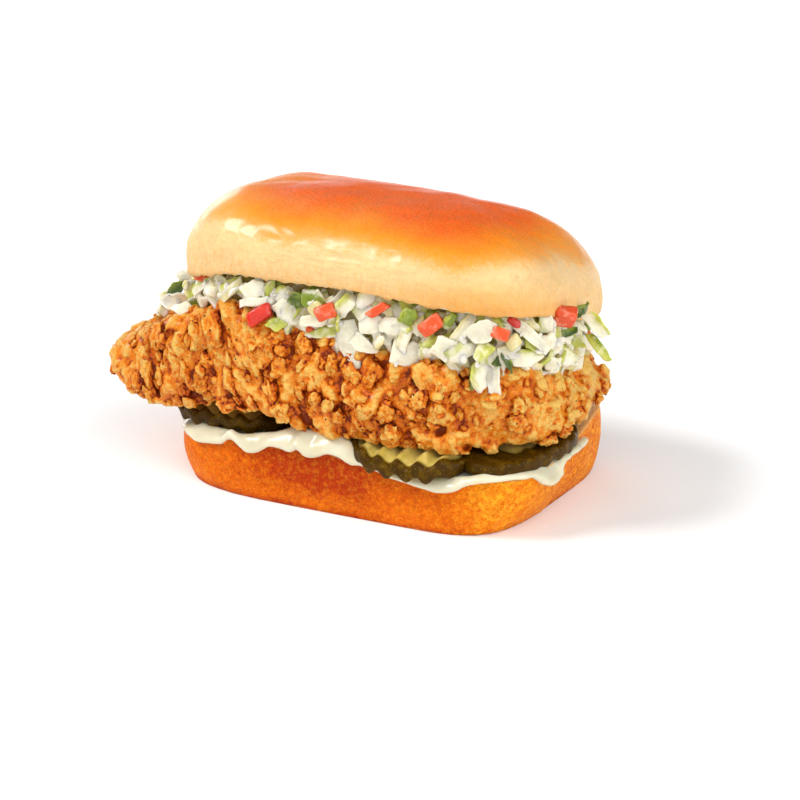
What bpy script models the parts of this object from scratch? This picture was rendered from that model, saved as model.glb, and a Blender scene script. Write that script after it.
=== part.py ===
# A breaded chicken sandwich on a long brioche roll, built from the plate up: the roll's base,
# a layer of mayonnaise, crinkle-cut pickle slices, a craggy breaded fillet, coleslaw and the
# domed top of the roll. Metres, +Z up. The origin is the middle of the base's flat underside,
# +X runs along the roll and -Y is its front, where the filling leans out.
import math
import random

import bmesh
import bpy
from mathutils import Matrix, Vector, noise
from mathutils.bvhtree import BVHTree

MM = 0.001
GAP = 0.35 * MM  # clearance kept between two layers that touch

ROLL_LENGTH = 109 * MM
ROLL_WIDTH = 74 * MM
ROLL_SQUARENESS = 4.6  # exponent of the rounded rectangle seen from above

BASE_HEIGHT = 15 * MM
BASE_FOOT = 0.955  # share of the roll's outline that is flat underneath

MAYO_TOP = 16.3 * MM
MAYO_SPREAD = 1.3 * MM  # how far the layer bulges past the roll's outline
MAYO_INSET = 3.5 * MM  # how far it stays inside the outline at the right end
MAYO_LIP = 1.2 * MM  # how far its edge hangs below the cut, away from the drips
MAYO_DRIPS = (  # along the front: where, how deep and how wide, in mm
    (-46, 1.0, 4),
    (-26, 1.2, 4),
    (-7, 0.9, 4),
    (4, 1.6, 3.5),
    (30, 2.4, 5),
    (50, 1.5, 4),
)
MAYO_MOUNDS = ((-6.4, -28, 9, 10), (-2, 0, 5, 16))  # middle and half sizes, in mm
MAYO_MOUND_HEIGHT = 5.9 * MM

PICKLE_UNDERSIDE = MAYO_TOP + GAP
PICKLE_THICKNESS = 4.1 * MM
CRINKLE_PITCH = 5.6 * MM
CRINKLE_HEIGHT = 0.65 * MM
PICKLES = (  # name, middle and radii in mm, turn in degrees, and the grid along and across
    ("pickle_front_left", (-35, -19.5), (18.8, 18), -38, 26, 2),
    ("pickle_front_middle", (18, -23.5), (14.5, 14.6), -4, 24, 2),
    ("pickle_front_right", (44, -14.5), (19.5, 10.6), 76, 26, 2),
    ("pickle_back_left", (-25, 18.5), (17, 15), 24, 20, 1),
    ("pickle_back_right", (20, 17.5), (16, 15), -18, 20, 1),
)

FILLET_LEFT = -78 * MM
FILLET_RIGHT = 59 * MM
FILLET_HALF_WIDTH = 37 * MM
FILLET_SQUARENESS = 3.3
FILLET_UNDERSIDE = 23.2 * MM
FILLET_TOP_INSET = 0.08  # how far the shoulder and the foot draw in, as shares of the outline
FILLET_FOOT_INSET = 0.07
TIP_LEAN = 13 * MM  # how far the left tip turns forward
NUGGET_SIZE = 7 * MM
NUGGET_RELIEF = 2.6 * MM
CRAG_COUNT = 90
CRAG_RADIUS = (2.7 * MM, 4.8 * MM)

RIM_HEIGHT = 59.5 * MM  # underside of the top half, at its middle
RIM_SLOPE_BACK = 0.12  # the filling is thicker in front, so the top half leans back
RIM_SLOPE_SIDE = 0.02
DOME_HEIGHT = 22.5 * MM
DOME_SPREAD = 1.012  # the top half is a little wider than the base
WALL_TURN = math.radians(52)  # how far up the dome's arc its side wall reaches
LEFT_DROOP = 5 * MM
RIGHT_DROOP = 8.5 * MM
LEFT_CROWN = 2 * MM  # how much higher the crown stands towards its left end

SLAW_HALF_LENGTH = 52 * MM
SLAW_HALF_WIDTH = 35 * MM
SLAW_SQUARENESS = 4.0
SLAW_DEPTH = 11 * MM
SHRED_COUNT = 88
STRIP_SIZE = ((12 * MM, 18 * MM), (3 * MM, 4.5 * MM), 1.6 * MM)  # length, width, thickness
CHIP_SIZE = ((8 * MM, 12 * MM), (6 * MM, 8 * MM), 1.5 * MM)
DICE_SIZE = (3.6 * MM, 5.4 * MM)
TONGUES = (-172, -92, -84, -68, -38, -10, 8)  # bearings in degrees where the slaw hangs lower
TONGUE_REACH = (1.01, 1.05, 1.09)
SEED = 11

CRUST_BROWN = (0.62, 0.24, 0.05)
MAYO_WHITE = (0.86, 0.84, 0.72)
PICKLE_GREEN = (0.20, 0.21, 0.04)
BREADING = (0.70, 0.30, 0.06)
CABBAGE = (0.80, 0.82, 0.66)


def smooth_step(low, high, value):
    t = min(1.0, max(0.0, (value - low) / (high - low)))
    return t * t * (3 - 2 * t)


def finish(name, rgb, roughness):
    material = bpy.data.materials.new(name)
    material.use_nodes = True
    shader = material.node_tree.nodes["Principled BSDF"]
    shader.inputs["Base Color"].default_value = (*rgb, 1)
    shader.inputs["Roughness"].default_value = roughness
    shader.inputs["Metallic"].default_value = 0
    return material


def new_object(name, body, collection, material=None):
    mesh = bpy.data.meshes.new(name)
    bmesh.ops.recalc_face_normals(body, faces=body.faces[:])
    body.to_mesh(mesh)
    body.free()
    mesh.shade_smooth()
    mesh.set_sharp_from_angle(angle=math.radians(40))
    obj = bpy.data.objects.new(name, mesh)
    collection.objects.link(obj)
    if material:
        mesh.materials.append(material)
    return obj


def join(obj, others, operation):
    # One Boolean with every object of a collection, applied, after which they are removed.
    tools = bpy.data.collections.new(obj.name + "_tools")
    bpy.context.scene.collection.children.link(tools)
    for other in others:
        for holder in other.users_collection:
            holder.objects.unlink(other)
        tools.objects.link(other)
    boolean = obj.modifiers.new("join", "BOOLEAN")
    boolean.operand_type = "COLLECTION"
    boolean.collection = tools
    boolean.operation = operation
    boolean.solver = "EXACT"
    graph = bpy.context.evaluated_depsgraph_get()
    joined = bpy.data.meshes.new_from_object(obj.evaluated_get(graph))
    obj.modifiers.remove(boolean)
    obj.data = joined
    for other in others:
        bpy.data.objects.remove(other)
    bpy.data.collections.remove(tools)


def drop_scraps(obj):
    # Keeps the outer skin: loose scraps and the walls of sealed hollows are smaller shells,
    # each joined to nothing across an edge.
    body = bmesh.new()
    body.from_mesh(obj.data)
    bmesh.ops.triangulate(body, faces=body.faces[:])
    shells = []
    seen = set()
    for start in body.faces:
        if start in seen:
            continue
        seen.add(start)
        shell = [start]
        for face in shell:
            for edge in face.edges:
                for other in edge.link_faces if len(edge.link_faces) == 2 else ():
                    if other not in seen:
                        seen.add(other)
                        shell.append(other)
        shells.append(shell)
    shells.sort(key=len)
    for shell in shells[:-1]:
        bmesh.ops.delete(body, geom=shell, context="FACES")
    body.to_mesh(obj.data)
    body.free()


def gridded_cube(cuts_each_way):
    body = bmesh.new()
    bmesh.ops.create_cube(body, size=2)
    for axis, cuts in enumerate(cuts_each_way):
        edges = [e for e in body.edges if abs(e.verts[0].co[axis] - e.verts[1].co[axis]) > 0.01]
        bmesh.ops.subdivide_edges(body, edges=edges, cuts=cuts, use_grid_fill=True)
    return body


def loaf(cuts_each_way, squareness, place, plain_caps=()):
    # A gridded cube drawn into a loaf. place is given a point of the unit outline and a height
    # code: -1 to 1 up the side, 1 to 2 in over the top, and -1 to -2 in under the bottom. A
    # plain cap (-1 under, 1 on top) is left as one flat face.
    body = gridded_cube(cuts_each_way)
    body.normal_update()
    for way in plain_caps:
        cap = [face for face in body.faces if face.normal.z * way > 0.9]
        bmesh.ops.dissolve_faces(body, faces=cap)
    for vertex in body.verts:
        u, v, w = vertex.co
        ring = max(abs(u), abs(v), 1e-9)
        span = (abs(u / ring) ** squareness + abs(v / ring) ** squareness) ** (1 / squareness)
        span = max(span, 1e-9)
        rise = w
        if ring < 0.999:
            rise = math.copysign(2 - ring, w)
        vertex.co = place(u / ring / span, v / ring / span, rise)
    bmesh.ops.recalc_face_normals(body, faces=body.faces[:])
    body.normal_update()
    return body


def rim_height(x, y):
    # Underside of the roll's top half, which sags over the filling at its two ends.
    left = LEFT_DROOP * smooth_step(28 * MM, 56 * MM, -x)
    right = RIGHT_DROOP * smooth_step(30 * MM, 56 * MM, x) * smooth_step(-30 * MM, 20 * MM, y)
    return RIM_HEIGHT - RIM_SLOPE_BACK * y - RIM_SLOPE_SIDE * x - left - right


def fillet_top(x, y):
    # The top half settles onto the fillet, so the fillet's upper face keeps the slaw's depth
    # below it. It is thickest a little left of its middle and thins to its left tip.
    crown = 3 * MM * math.exp(-(((x + 26 * MM) / (24 * MM)) ** 2))
    tip = 12 * MM * smooth_step(50 * MM, 80 * MM, -x)
    return rim_height(x, y) - SLAW_DEPTH + crown - tip


def fillet_underside(x):
    return FILLET_UNDERSIDE + 0.012 * x - 1.2 * MM * smooth_step(50 * MM, 78 * MM, -x)


def base_point(u, v, rise):
    if rise <= -1:
        reach, z = BASE_FOOT * (2 + rise), 0
    elif rise < 1:
        part = (rise + 1) / 2
        reach = 1 - (1 - BASE_FOOT) * (1 - part) ** 3 - 0.012 * part**4
        z = BASE_HEIGHT * part
    else:
        reach, z = 0.988 * (2 - rise), BASE_HEIGHT
    return Vector((u * reach * ROLL_LENGTH / 2, v * reach * ROLL_WIDTH / 2, z))


def dome_point(u, v, rise):
    # The wall bulges a little above the cut edge, then turns over into a full soft crown.
    if rise <= -1:
        reach, lift = 0.975 * (2 + rise), 0
    else:
        angle = WALL_TURN * (rise + 1) / 2
        if rise > 1:
            angle = WALL_TURN + (math.pi / 2 - WALL_TURN) * (rise - 1)
        reach = math.cos(angle) ** 0.72 - 0.025 * (1 - min(1, (rise + 1) / 0.7)) ** 2
        lift = DOME_HEIGHT * math.sin(angle) ** 0.84
    x = u * reach * DOME_SPREAD * ROLL_LENGTH / 2
    y = v * reach * DOME_SPREAD * ROLL_WIDTH / 2
    share = lift / DOME_HEIGHT
    level = RIM_HEIGHT - RIM_SLOPE_BACK * y - RIM_SLOPE_SIDE * x
    sag = (rim_height(x, y) - level) * (1 - share * (0.55 if x > 0 else 1))
    swell = LEFT_CROWN * share * smooth_step(-15 * MM, 46 * MM, -x)
    return Vector((x, y, level + sag + swell + lift))


def fillet_point(u, v, rise):
    # A long breast fillet: steep sides, a rounded shoulder, a blunt right end, and a left end
    # that tapers and turns forward.
    part = min(1.0, max(0.0, (rise + 1) / 2))
    inward = max(0.0, abs(rise) - 1)
    reach = (1 - FILLET_FOOT_INSET * (1 - part) ** 3 - FILLET_TOP_INSET * part**4) * (1 - inward)
    middle, half = (FILLET_LEFT + FILLET_RIGHT) / 2, (FILLET_RIGHT - FILLET_LEFT) / 2
    x = middle + u * reach * half
    shoulder = 0.80 + 0.11 * math.exp(-(((x + 30 * MM) / (22 * MM)) ** 2))
    level = shoulder * part
    if rise > 1:
        level += (1 - shoulder) * (1 - (1 - inward) ** 3)
    taper = smooth_step(22 * MM, 82 * MM, -x)
    y = v * reach * FILLET_HALF_WIDTH * (1 - 0.34 * taper) - TIP_LEAN * taper
    top, under = fillet_top(x, y), fillet_underside(x)
    return Vector((x, y, under + (top - under) * level))


def make_base(collection):
    body = loaf((9, 9, 5), ROLL_SQUARENESS, base_point, plain_caps=(-1, 1))
    return new_object("roll_base", body, collection, finish("base crust", CRUST_BROWN, 0.7))


def make_top(collection):
    body = loaf((9, 9, 7), ROLL_SQUARENESS - 0.4, dome_point)
    for vertex in body.verts:
        wobble = noise.noise(vertex.co / (26 * MM)) * 0.7 * MM
        if vertex.co.z > rim_height(vertex.co.x, vertex.co.y) + 3 * MM:
            vertex.co.z += wobble
    return new_object("roll_top", body, collection, finish("glazed crust", CRUST_BROWN, 0.35))


def mayo_hang(x, y):
    # How far the mayonnaise hangs below the cut. The front has named drips, and the rest of
    # the edge follows a slow wave.
    hang = MAYO_LIP + 0.5 * MM * noise.noise(Vector((x, y, 0.3)) / (9 * MM))
    if y < -20 * MM:
        for middle, depth, width in MAYO_DRIPS:
            hang += depth * MM * math.exp(-(((x / MM - middle) / width) ** 2))
    return hang


def mayo_point(u, v, rise):
    held_in = smooth_step(40 * MM, 52 * MM, u * ROLL_LENGTH / 2)
    held_in *= smooth_step(-26 * MM, -10 * MM, v * ROLL_WIDTH / 2)
    spread = MAYO_SPREAD - (MAYO_SPREAD + MAYO_INSET) * held_in
    edge_x = u * (ROLL_LENGTH / 2 + spread)
    edge_y = v * (ROLL_WIDTH / 2 + spread)
    low = BASE_HEIGHT - mayo_hang(edge_x, edge_y)
    part = min(1.0, max(0.0, (rise + 1) / 2))
    reach = 1 + 0.012 * math.sin(math.pi * part) - 0.03 * part**3
    return Vector((edge_x * reach, edge_y * reach, low + (MAYO_TOP - low) * part))


def make_mayonnaise(collection):
    # The layer squeezes up between the pickle slices in a soft mound behind the front edge.
    body = loaf((19, 9, 3), ROLL_SQUARENESS, mayo_point, plain_caps=(-1, 1))
    layer = new_object("mayonnaise", body, collection, finish("mayonnaise", MAYO_WHITE, 0.25))
    mounds = []
    for number, (x, y, across, deep) in enumerate(MAYO_MOUNDS):
        mound = bmesh.new()
        bmesh.ops.create_icosphere(mound, subdivisions=2, radius=1)
        for vertex in mound.verts:
            lift = MAYO_MOUND_HEIGHT * max(0, vertex.co.z) ** 0.6
            if vertex.co.z < -0.01:
                lift = BASE_HEIGHT + 2 * GAP - MAYO_TOP
            across_mm, deep_mm = vertex.co.x * across + x, vertex.co.y * deep + y
            vertex.co = Vector((across_mm * MM, deep_mm * MM, MAYO_TOP + lift))
        mounds.append(new_object(f"mound_{number}", mound, collection))
    join(layer, mounds, "UNION")

    def clearance(u, v, rise):
        point = base_point(u, v, rise)
        outward = Vector((point.x / ROLL_LENGTH, point.y / ROLL_WIDTH, 0)).normalized()
        return point + outward * GAP + Vector((0, 0, GAP if rise >= 1 else -GAP))

    cutter = loaf((9, 9, 5), ROLL_SQUARENESS, clearance, plain_caps=(-1, 1))
    join(layer, [new_object("base_clearance", cutter, collection)], "DIFFERENCE")
    drop_scraps(layer)
    return layer


def make_pickle(name, collection, material, middle, radii, turn_deg, along, across):
    # A slice cut with a wavy blade: a wavy sheet with an oval outline, given its thickness.
    body = bmesh.new()
    bmesh.ops.create_grid(body, x_segments=along, y_segments=across, size=1)
    for vertex in body.verts:
        u, v = vertex.co.x, vertex.co.y
        x = u * math.sqrt(1 - v * v / 2) * radii[0] * MM
        y = v * math.sqrt(1 - u * u / 2) * radii[1] * MM
        wave = CRINKLE_HEIGHT * (1 + math.sin(2 * math.pi * x / CRINKLE_PITCH))
        vertex.co = Vector((x, y, wave))
    ring = bmesh.ops.extrude_face_region(body, geom=body.faces[:])
    for item in ring["geom"]:
        if isinstance(item, bmesh.types.BMVert):
            item.co.z += PICKLE_THICKNESS
    place = Matrix.Translation((middle[0] * MM, middle[1] * MM, PICKLE_UNDERSIDE))
    body.transform(place @ Matrix.Rotation(math.radians(turn_deg), 4, "Z"))
    return new_object(name, body, collection, material)


def make_pickles(collection):
    green = finish("pickle", PICKLE_GREEN, 0.3)
    for name, *rest in PICKLES:
        make_pickle(name, collection, green, *rest)


def slaw_reach(x, y):
    # How far out a point lies in the slaw's outline: 0 at its middle and 1 on its edge.
    across, deep = abs(x) / SLAW_HALF_LENGTH, abs(y) / SLAW_HALF_WIDTH
    return (across**SLAW_SQUARENESS + deep**SLAW_SQUARENESS) ** (1 / SLAW_SQUARENESS)


def crag_shape(size, rng):
    # One nugget of breading: a low-sided ball, flattened, bent and knocked out of round.
    body = bmesh.new()
    bmesh.ops.create_icosphere(body, subdivisions=1, radius=1)
    stretch = Vector((rng.uniform(0.9, 1.5), rng.uniform(0.7, 1.1), rng.uniform(0.6, 0.95)))
    for vertex in body.verts:
        vertex.co *= 1 + rng.uniform(-0.2, 0.2)
        vertex.co = Vector([c * s * size for c, s in zip(vertex.co, stretch)])
    return body


def even_spots(spots, count, rng):
    # Each spot taken is the one, of a few candidates, farthest from those taken before it.
    chosen = [spots[0]]
    while len(chosen) < count:
        picks = rng.sample(spots, 14)
        chosen.append(max(picks, key=lambda p: min((p[0] - q[0]).length for q in chosen)))
    return chosen


def make_fillet(collection):
    body = loaf((23, 13, 7), FILLET_SQUARENESS, fillet_point, plain_caps=(-1,))
    for vertex in body.verts:
        outward = vertex.normal.copy()
        if outward.z < -0.8:
            continue
        cell = noise.voronoi(vertex.co / NUGGET_SIZE)[0][0]
        bare = smooth_step(0.93, 0.99, outward.z)  # the upper face under the slaw stays plain
        vertex.co += outward * NUGGET_RELIEF * (0.45 - cell) * (1 - bare)
        vertex.co.z = max(vertex.co.z, fillet_underside(vertex.co.x))
    body.normal_update()
    side = []
    for face in body.faces:
        middle = face.calc_center_median()
        clear = slaw_reach(middle.x, middle.y) > 0.98
        if clear and -0.5 < face.normal.z < 0.9 and middle.z > FILLET_UNDERSIDE + 2.2 * MM:
            side.append((middle, face.normal.copy()))
    fillet = new_object("fillet", body, collection, finish("breading", BREADING, 0.6))

    rng = random.Random(SEED)
    side.sort(key=lambda item: (math.atan2(item[0].y, item[0].x), item[0].z))
    crags = []
    for number, (spot, outward) in enumerate(even_spots(side, CRAG_COUNT, rng)):
        size = rng.uniform(*CRAG_RADIUS)
        shape = crag_shape(size, rng)
        turn = outward.to_track_quat("Z", "Y").to_matrix().to_4x4()
        spin = Matrix.Rotation(rng.uniform(0, 2 * math.pi), 4, "Z")
        spot = spot + outward * rng.uniform(0.1, 0.8) * MM
        spot.z = max(spot.z, FILLET_UNDERSIDE + 0.75 * size)
        shape.transform(Matrix.Translation(spot) @ turn @ spin)
        for vertex in shape.verts:
            vertex.co.z = max(vertex.co.z, FILLET_UNDERSIDE - 0.4 * MM)
        crags.append(new_object(f"crag_{number}", shape, collection))
    join(fillet, crags, "UNION")
    drop_scraps(fillet)
    return fillet


def slaw_core(fillet_skin, top_skin):
    # The bare heap: it fills the space between the fillet and the roll's top half. Its lower
    # face follows the fillet over its shoulder and its upper face follows the cut of the roll.
    def meet(skin, x, y, way):
        middle = fillet_top(x, y) + SLAW_DEPTH * 0.4
        heights = []
        for dx, dy in ((0, 0), (3, 0), (-3, 0), (0, 3), (0, -3)):
            start = Vector((x + dx * MM, y + dy * MM, middle))
            hit = skin.ray_cast(start, Vector((0, 0, way)))[0]
            if hit:
                heights.append(hit.z * way)
        return min(heights) * way if heights else middle + way * SLAW_DEPTH

    def point(u, v, rise):
        bulge = math.sin(math.pi * min(1, max(0, (rise + 1) / 2)))
        reach = 0.95 + 0.05 * bulge
        if abs(rise) > 1:
            reach = 0.95 * (2 - abs(rise))
        x, y = u * reach * SLAW_HALF_LENGTH, v * reach * SLAW_HALF_WIDTH
        low = meet(fillet_skin, x, y, -1) + 0.8 * MM
        high = meet(top_skin, x, y, 1) - 0.6 * MM
        part = min(1.0, max(0.0, (rise + 1) / 2))
        return Vector((x, y, low + (high - low) * part))

    return loaf((9, 7, 2), SLAW_SQUARENESS, point)


def shred_shape(kind, rng):
    # A strip or chip of cabbage is a thin bent plate, and a diced vegetable is a small block.
    body = bmesh.new()
    bmesh.ops.create_cube(body, size=1)
    if kind == "dice":
        size = [rng.uniform(*DICE_SIZE) for _ in range(3)]
        cuts = 0
        bend = 0
    elif kind == "chip":
        size = [rng.uniform(*CHIP_SIZE[0]), rng.uniform(*CHIP_SIZE[1]), CHIP_SIZE[2]]
        cuts = 1
        bend = rng.uniform(0, 3) * MM
    else:
        size = [rng.uniform(*STRIP_SIZE[0]), rng.uniform(*STRIP_SIZE[1]), STRIP_SIZE[2]]
        cuts = 2
        bend = rng.uniform(0, 4.5) * MM
    if cuts:
        long_edges = [e for e in body.edges if abs(e.verts[0].co.x - e.verts[1].co.x) > 0.5]
        bmesh.ops.subdivide_edges(body, edges=long_edges, cuts=cuts)
    for vertex in body.verts:
        along = vertex.co.x
        vertex.co = Vector([c * s for c, s in zip(vertex.co, size)])
        vertex.co.y *= 1 - 0.5 * abs(along)
        vertex.co.z += bend * (0.25 - along * along)
    bmesh.ops.triangulate(body, faces=body.faces[:])
    return body


def shred_plan(core, fillet_skin, rng):
    # Where each piece lies and which way is up there: an even cover of the heap's open edge,
    # then the tongues that hang out of it onto the fillet.
    edge = []
    for face in core.faces:
        if abs(face.normal.z) < 0.7:
            corners = [vertex.co for vertex in face.verts]
            for way in (0.2, 0.5, 0.8):
                edge.append((corners[0].lerp(corners[2], way), face.normal.copy()))
    plan = even_spots(edge, SHRED_COUNT, rng)
    for bearing in TONGUES:
        for reach in TONGUE_REACH:
            angle = math.radians(bearing + rng.uniform(-4, 4))
            u, v = math.cos(angle), math.sin(angle)
            scale = reach / slaw_reach(u * SLAW_HALF_LENGTH, v * SLAW_HALF_WIDTH)
            x, y = u * scale * SLAW_HALF_LENGTH, v * scale * SLAW_HALF_WIDTH
            start = Vector((x, y, rim_height(x, y) + 5 * MM))
            spot, up = fillet_skin.ray_cast(start, Vector((0, 0, -1)))[:2]
            if spot:
                plan.append((spot, up))
    return plan


def make_slaw(collection, fillet, top):
    solids = []
    for neighbour in (fillet, top):
        body = bmesh.new()
        body.from_mesh(neighbour.data)
        solids.append(BVHTree.FromBMesh(body, epsilon=GAP))
        body.free()
    core = slaw_core(*solids)
    rng = random.Random(SEED + 1)
    plan = shred_plan(core, solids[0], rng)
    slaw = new_object("coleslaw", core, collection, finish("coleslaw", CABBAGE, 0.35))
    shreds = []
    for number, (spot, up) in enumerate(plan):
        shape = shred_shape(rng.choices(("strip", "chip", "dice"), (5, 4, 2))[0], rng)
        outward = Vector((spot.x / SLAW_HALF_LENGTH, spot.y / SLAW_HALF_WIDTH, 0)).normalized()
        up = (up + Vector([rng.uniform(-0.5, 0.5) for _ in range(3)])).normalized()
        tangent = (Vector((0, 0, -1)) + outward + up * 0.01).cross(up).normalized()
        frame = Matrix((tangent, up.cross(tangent), up)).transposed().to_4x4()
        shape.transform(frame @ Matrix.Rotation(rng.uniform(0, math.pi), 4, "Z"))
        for step in range(8):  # nudged out until it clears the fillet and the roll
            moved = shape.copy()
            offset = (up * 0.8 + outward) * (step + 0.5) * 0.4 * MM
            moved.transform(Matrix.Translation(spot + offset))
            tree = BVHTree.FromBMesh(moved, epsilon=GAP)
            if not any(tree.overlap(solid) for solid in solids):
                shreds.append(new_object(f"shred_{number}", moved, collection))
                break
            moved.free()
        shape.free()
    join(slaw, shreds, "UNION")
    drop_scraps(slaw)
    return slaw


def main():
    for obj in list(bpy.data.objects):
        bpy.data.objects.remove(obj)
    sandwich = bpy.data.collections.new("chicken_burger")
    bpy.context.scene.collection.children.link(sandwich)
    make_base(sandwich)
    make_mayonnaise(sandwich)
    make_pickles(sandwich)
    fillet = make_fillet(sandwich)
    top = make_top(sandwich)
    make_slaw(sandwich, fillet, top)


main()
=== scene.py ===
import math
import random

import bmesh
import bpy
import numpy as np
from mathutils import Matrix, Vector, noise
from mathutils.bvhtree import BVHTree
from mathutils.kdtree import KDTree


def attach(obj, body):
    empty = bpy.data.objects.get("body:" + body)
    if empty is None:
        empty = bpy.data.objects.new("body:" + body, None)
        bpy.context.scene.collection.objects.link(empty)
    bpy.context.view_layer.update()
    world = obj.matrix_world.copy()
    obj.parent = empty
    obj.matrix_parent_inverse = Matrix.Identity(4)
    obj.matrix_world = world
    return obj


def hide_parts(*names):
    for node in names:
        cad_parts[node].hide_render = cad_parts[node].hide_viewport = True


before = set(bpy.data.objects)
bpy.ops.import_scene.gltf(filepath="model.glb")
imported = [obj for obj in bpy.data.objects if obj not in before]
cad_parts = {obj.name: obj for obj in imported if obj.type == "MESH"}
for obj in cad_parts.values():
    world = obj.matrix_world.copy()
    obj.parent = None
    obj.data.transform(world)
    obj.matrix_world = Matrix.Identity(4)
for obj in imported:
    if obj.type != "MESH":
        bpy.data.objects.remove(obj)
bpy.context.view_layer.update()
mm = 0.001
print("frame loaded:", len(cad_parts), "CAD nodes")

# the photograph's own view
camera = {
    "azimuth": 25.0,  # degrees round from the front
    "elevation": 20.0,
    "aim": (0, 0, 0.040),
    "distance": 0.680,
    "lens": 110.0,
    "sensor": 36.0,
    "shiftX": 0.00625,
    "shiftY": -0.080,
}


def wayTo(azimuth, elevation):
    # from the burger towards a camera or a lamp, in degrees round from the front and up
    turn, height = math.radians(azimuth), math.radians(elevation)
    level = math.cos(height)
    return Vector((math.sin(turn) * level, -math.cos(turn) * level, math.sin(height)))


cameraTurn = math.radians(camera["azimuth"])
towardCamera = wayTo(camera["azimuth"], camera["elevation"])
cameraPlace = Vector(camera["aim"]) + towardCamera * camera["distance"]
cameraRight = Vector((math.cos(cameraTurn), math.sin(cameraTurn), 0))
cameraUp = towardCamera.cross(cameraRight)


def addObject(name, data):
    added = bpy.data.objects.new(name, data)
    bpy.context.collection.objects.link(added)
    return added


def aimBack(eye, place, way):
    # stands it at a place, looking back along the way that leads there
    eye.location = place
    eye.rotation_mode = "QUATERNION"
    eye.rotation_quaternion = (-way).to_track_quat("-Z", "Y")


def makeCamera():
    data = bpy.data.cameras.new("photoCamera")
    data.lens, data.sensor_width = camera["lens"], camera["sensor"]
    data.shift_x, data.shift_y = camera["shiftX"], camera["shiftY"]
    eye = addObject("photoCamera", data)
    aimBack(eye, cameraPlace, towardCamera)
    bpy.context.scene.camera = eye


def throughPhoto(across, down):
    # the direction in which a point of the 800 x 800 photograph lies from the camera
    wide = camera["sensor"] / camera["lens"]
    x = (across / 800 - 0.5 + camera["shiftX"]) * wide
    y = (0.5 - down / 800 + camera["shiftY"]) * wide
    return (cameraRight * x + cameraUp * y - towardCamera).normalized()


# sums for one number or for a whole array of them

def smoothStep(low, high, value):
    t = (value - low) / (high - low)
    t = np.clip(t, 0, 1) if isinstance(t, np.ndarray) else min(1.0, max(0.0, t))
    return t * t * (3 - 2 * t)


def hump(value, middle, width):
    # 1 at the middle and falling away on both sides, with both lengths in mm
    power = -(((value - middle * mm) / (width * mm)) ** 2)
    return np.exp(power) if isinstance(power, np.ndarray) else math.exp(power)


def blendTo(low, high, share):
    return low + (high - low) * share


def alongTable(table, place):
    return float(np.interp(place, *zip(*table)))


def noiseOf(*place):
    return noise.noise(Vector(place))


def noiseAt(points, size, offset=0.0):
    shift = Vector((offset, offset, offset))
    return np.array([noise.noise(Vector(p) / size + shift) for p in points])


def knobsAt(points, size):
    # small domes with creases between them
    found = np.array([noise.voronoi(Vector(p) / size)[0][:2] for p in points])
    return np.sqrt(np.clip(found[:, 1] - found[:, 0], 0, 0.6) / 0.6) - 0.55


def jitter(rng, reach):
    return Vector([rng.uniform(-reach, reach) for _ in range(3)])


def framed(along, outward):
    # the turn that lays x along one direction and z along the other
    return Matrix((along, outward.cross(along), outward)).transposed()


# ways of making meshes

def addMesh(name, points, faces, material=None):
    mesh = bpy.data.meshes.new(name)
    mesh.from_pydata([tuple(p) for p in points], [], [tuple(f) for f in faces])
    mesh.update()
    mesh.shade_smooth()
    if material:
        mesh.materials.append(material)
    return addObject(name, mesh)


def vectorsOf(mesh, key):
    vectors = np.empty(len(mesh.vertices) * 3)
    mesh.vertices.foreach_get(key, vectors)
    return vectors.reshape(-1, 3)


def pointsOf(mesh):
    return vectorsOf(mesh, "co")


def normalsOf(mesh):
    return vectorsOf(mesh, "normal")


def movePoints(mesh, points):
    mesh.vertices.foreach_set("co", points.ravel())
    mesh.update()


def paintNumbers(mesh, name, values):
    if name in mesh.attributes:
        mesh.attributes.remove(mesh.attributes[name])
    attribute = mesh.attributes.new(name, "FLOAT", "POINT")
    attribute.data.foreach_set("value", np.asarray(values, dtype=np.float32))


def blurAlong(mesh, values, times):
    # each pass moves every point's value to the mean of its neighbours' values
    edges = np.empty(len(mesh.edges) * 2, dtype=np.int64)
    mesh.edges.foreach_get("vertices", edges)
    one, two = edges.reshape(-1, 2).T
    count = np.bincount(np.concatenate([one, two]), minlength=len(values)).clip(1)
    columns = values if values.ndim == 2 else values[:, None]
    for _ in range(times):
        total = np.stack([
            np.bincount(one, weights=column[two], minlength=len(values))
            + np.bincount(two, weights=column[one], minlength=len(values))
            for column in columns.T
        ], axis=1)
        columns = 0.5 * columns + 0.5 * total / count[:, None]
    return columns if values.ndim == 2 else columns[:, 0]


def paintColours(mesh, colours):
    layer = mesh.color_attributes.new("paint", "FLOAT_COLOR", "POINT")
    layer.data.foreach_set("color", np.asarray(colours, dtype=np.float32).ravel())


def standsOut(mesh, times, scale):
    # above zero on tips and ridges, below zero down in the creases
    points = pointsOf(mesh)
    away = points - blurAlong(mesh, points, times)
    return (away * normalsOf(mesh)).sum(axis=1) / scale


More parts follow.
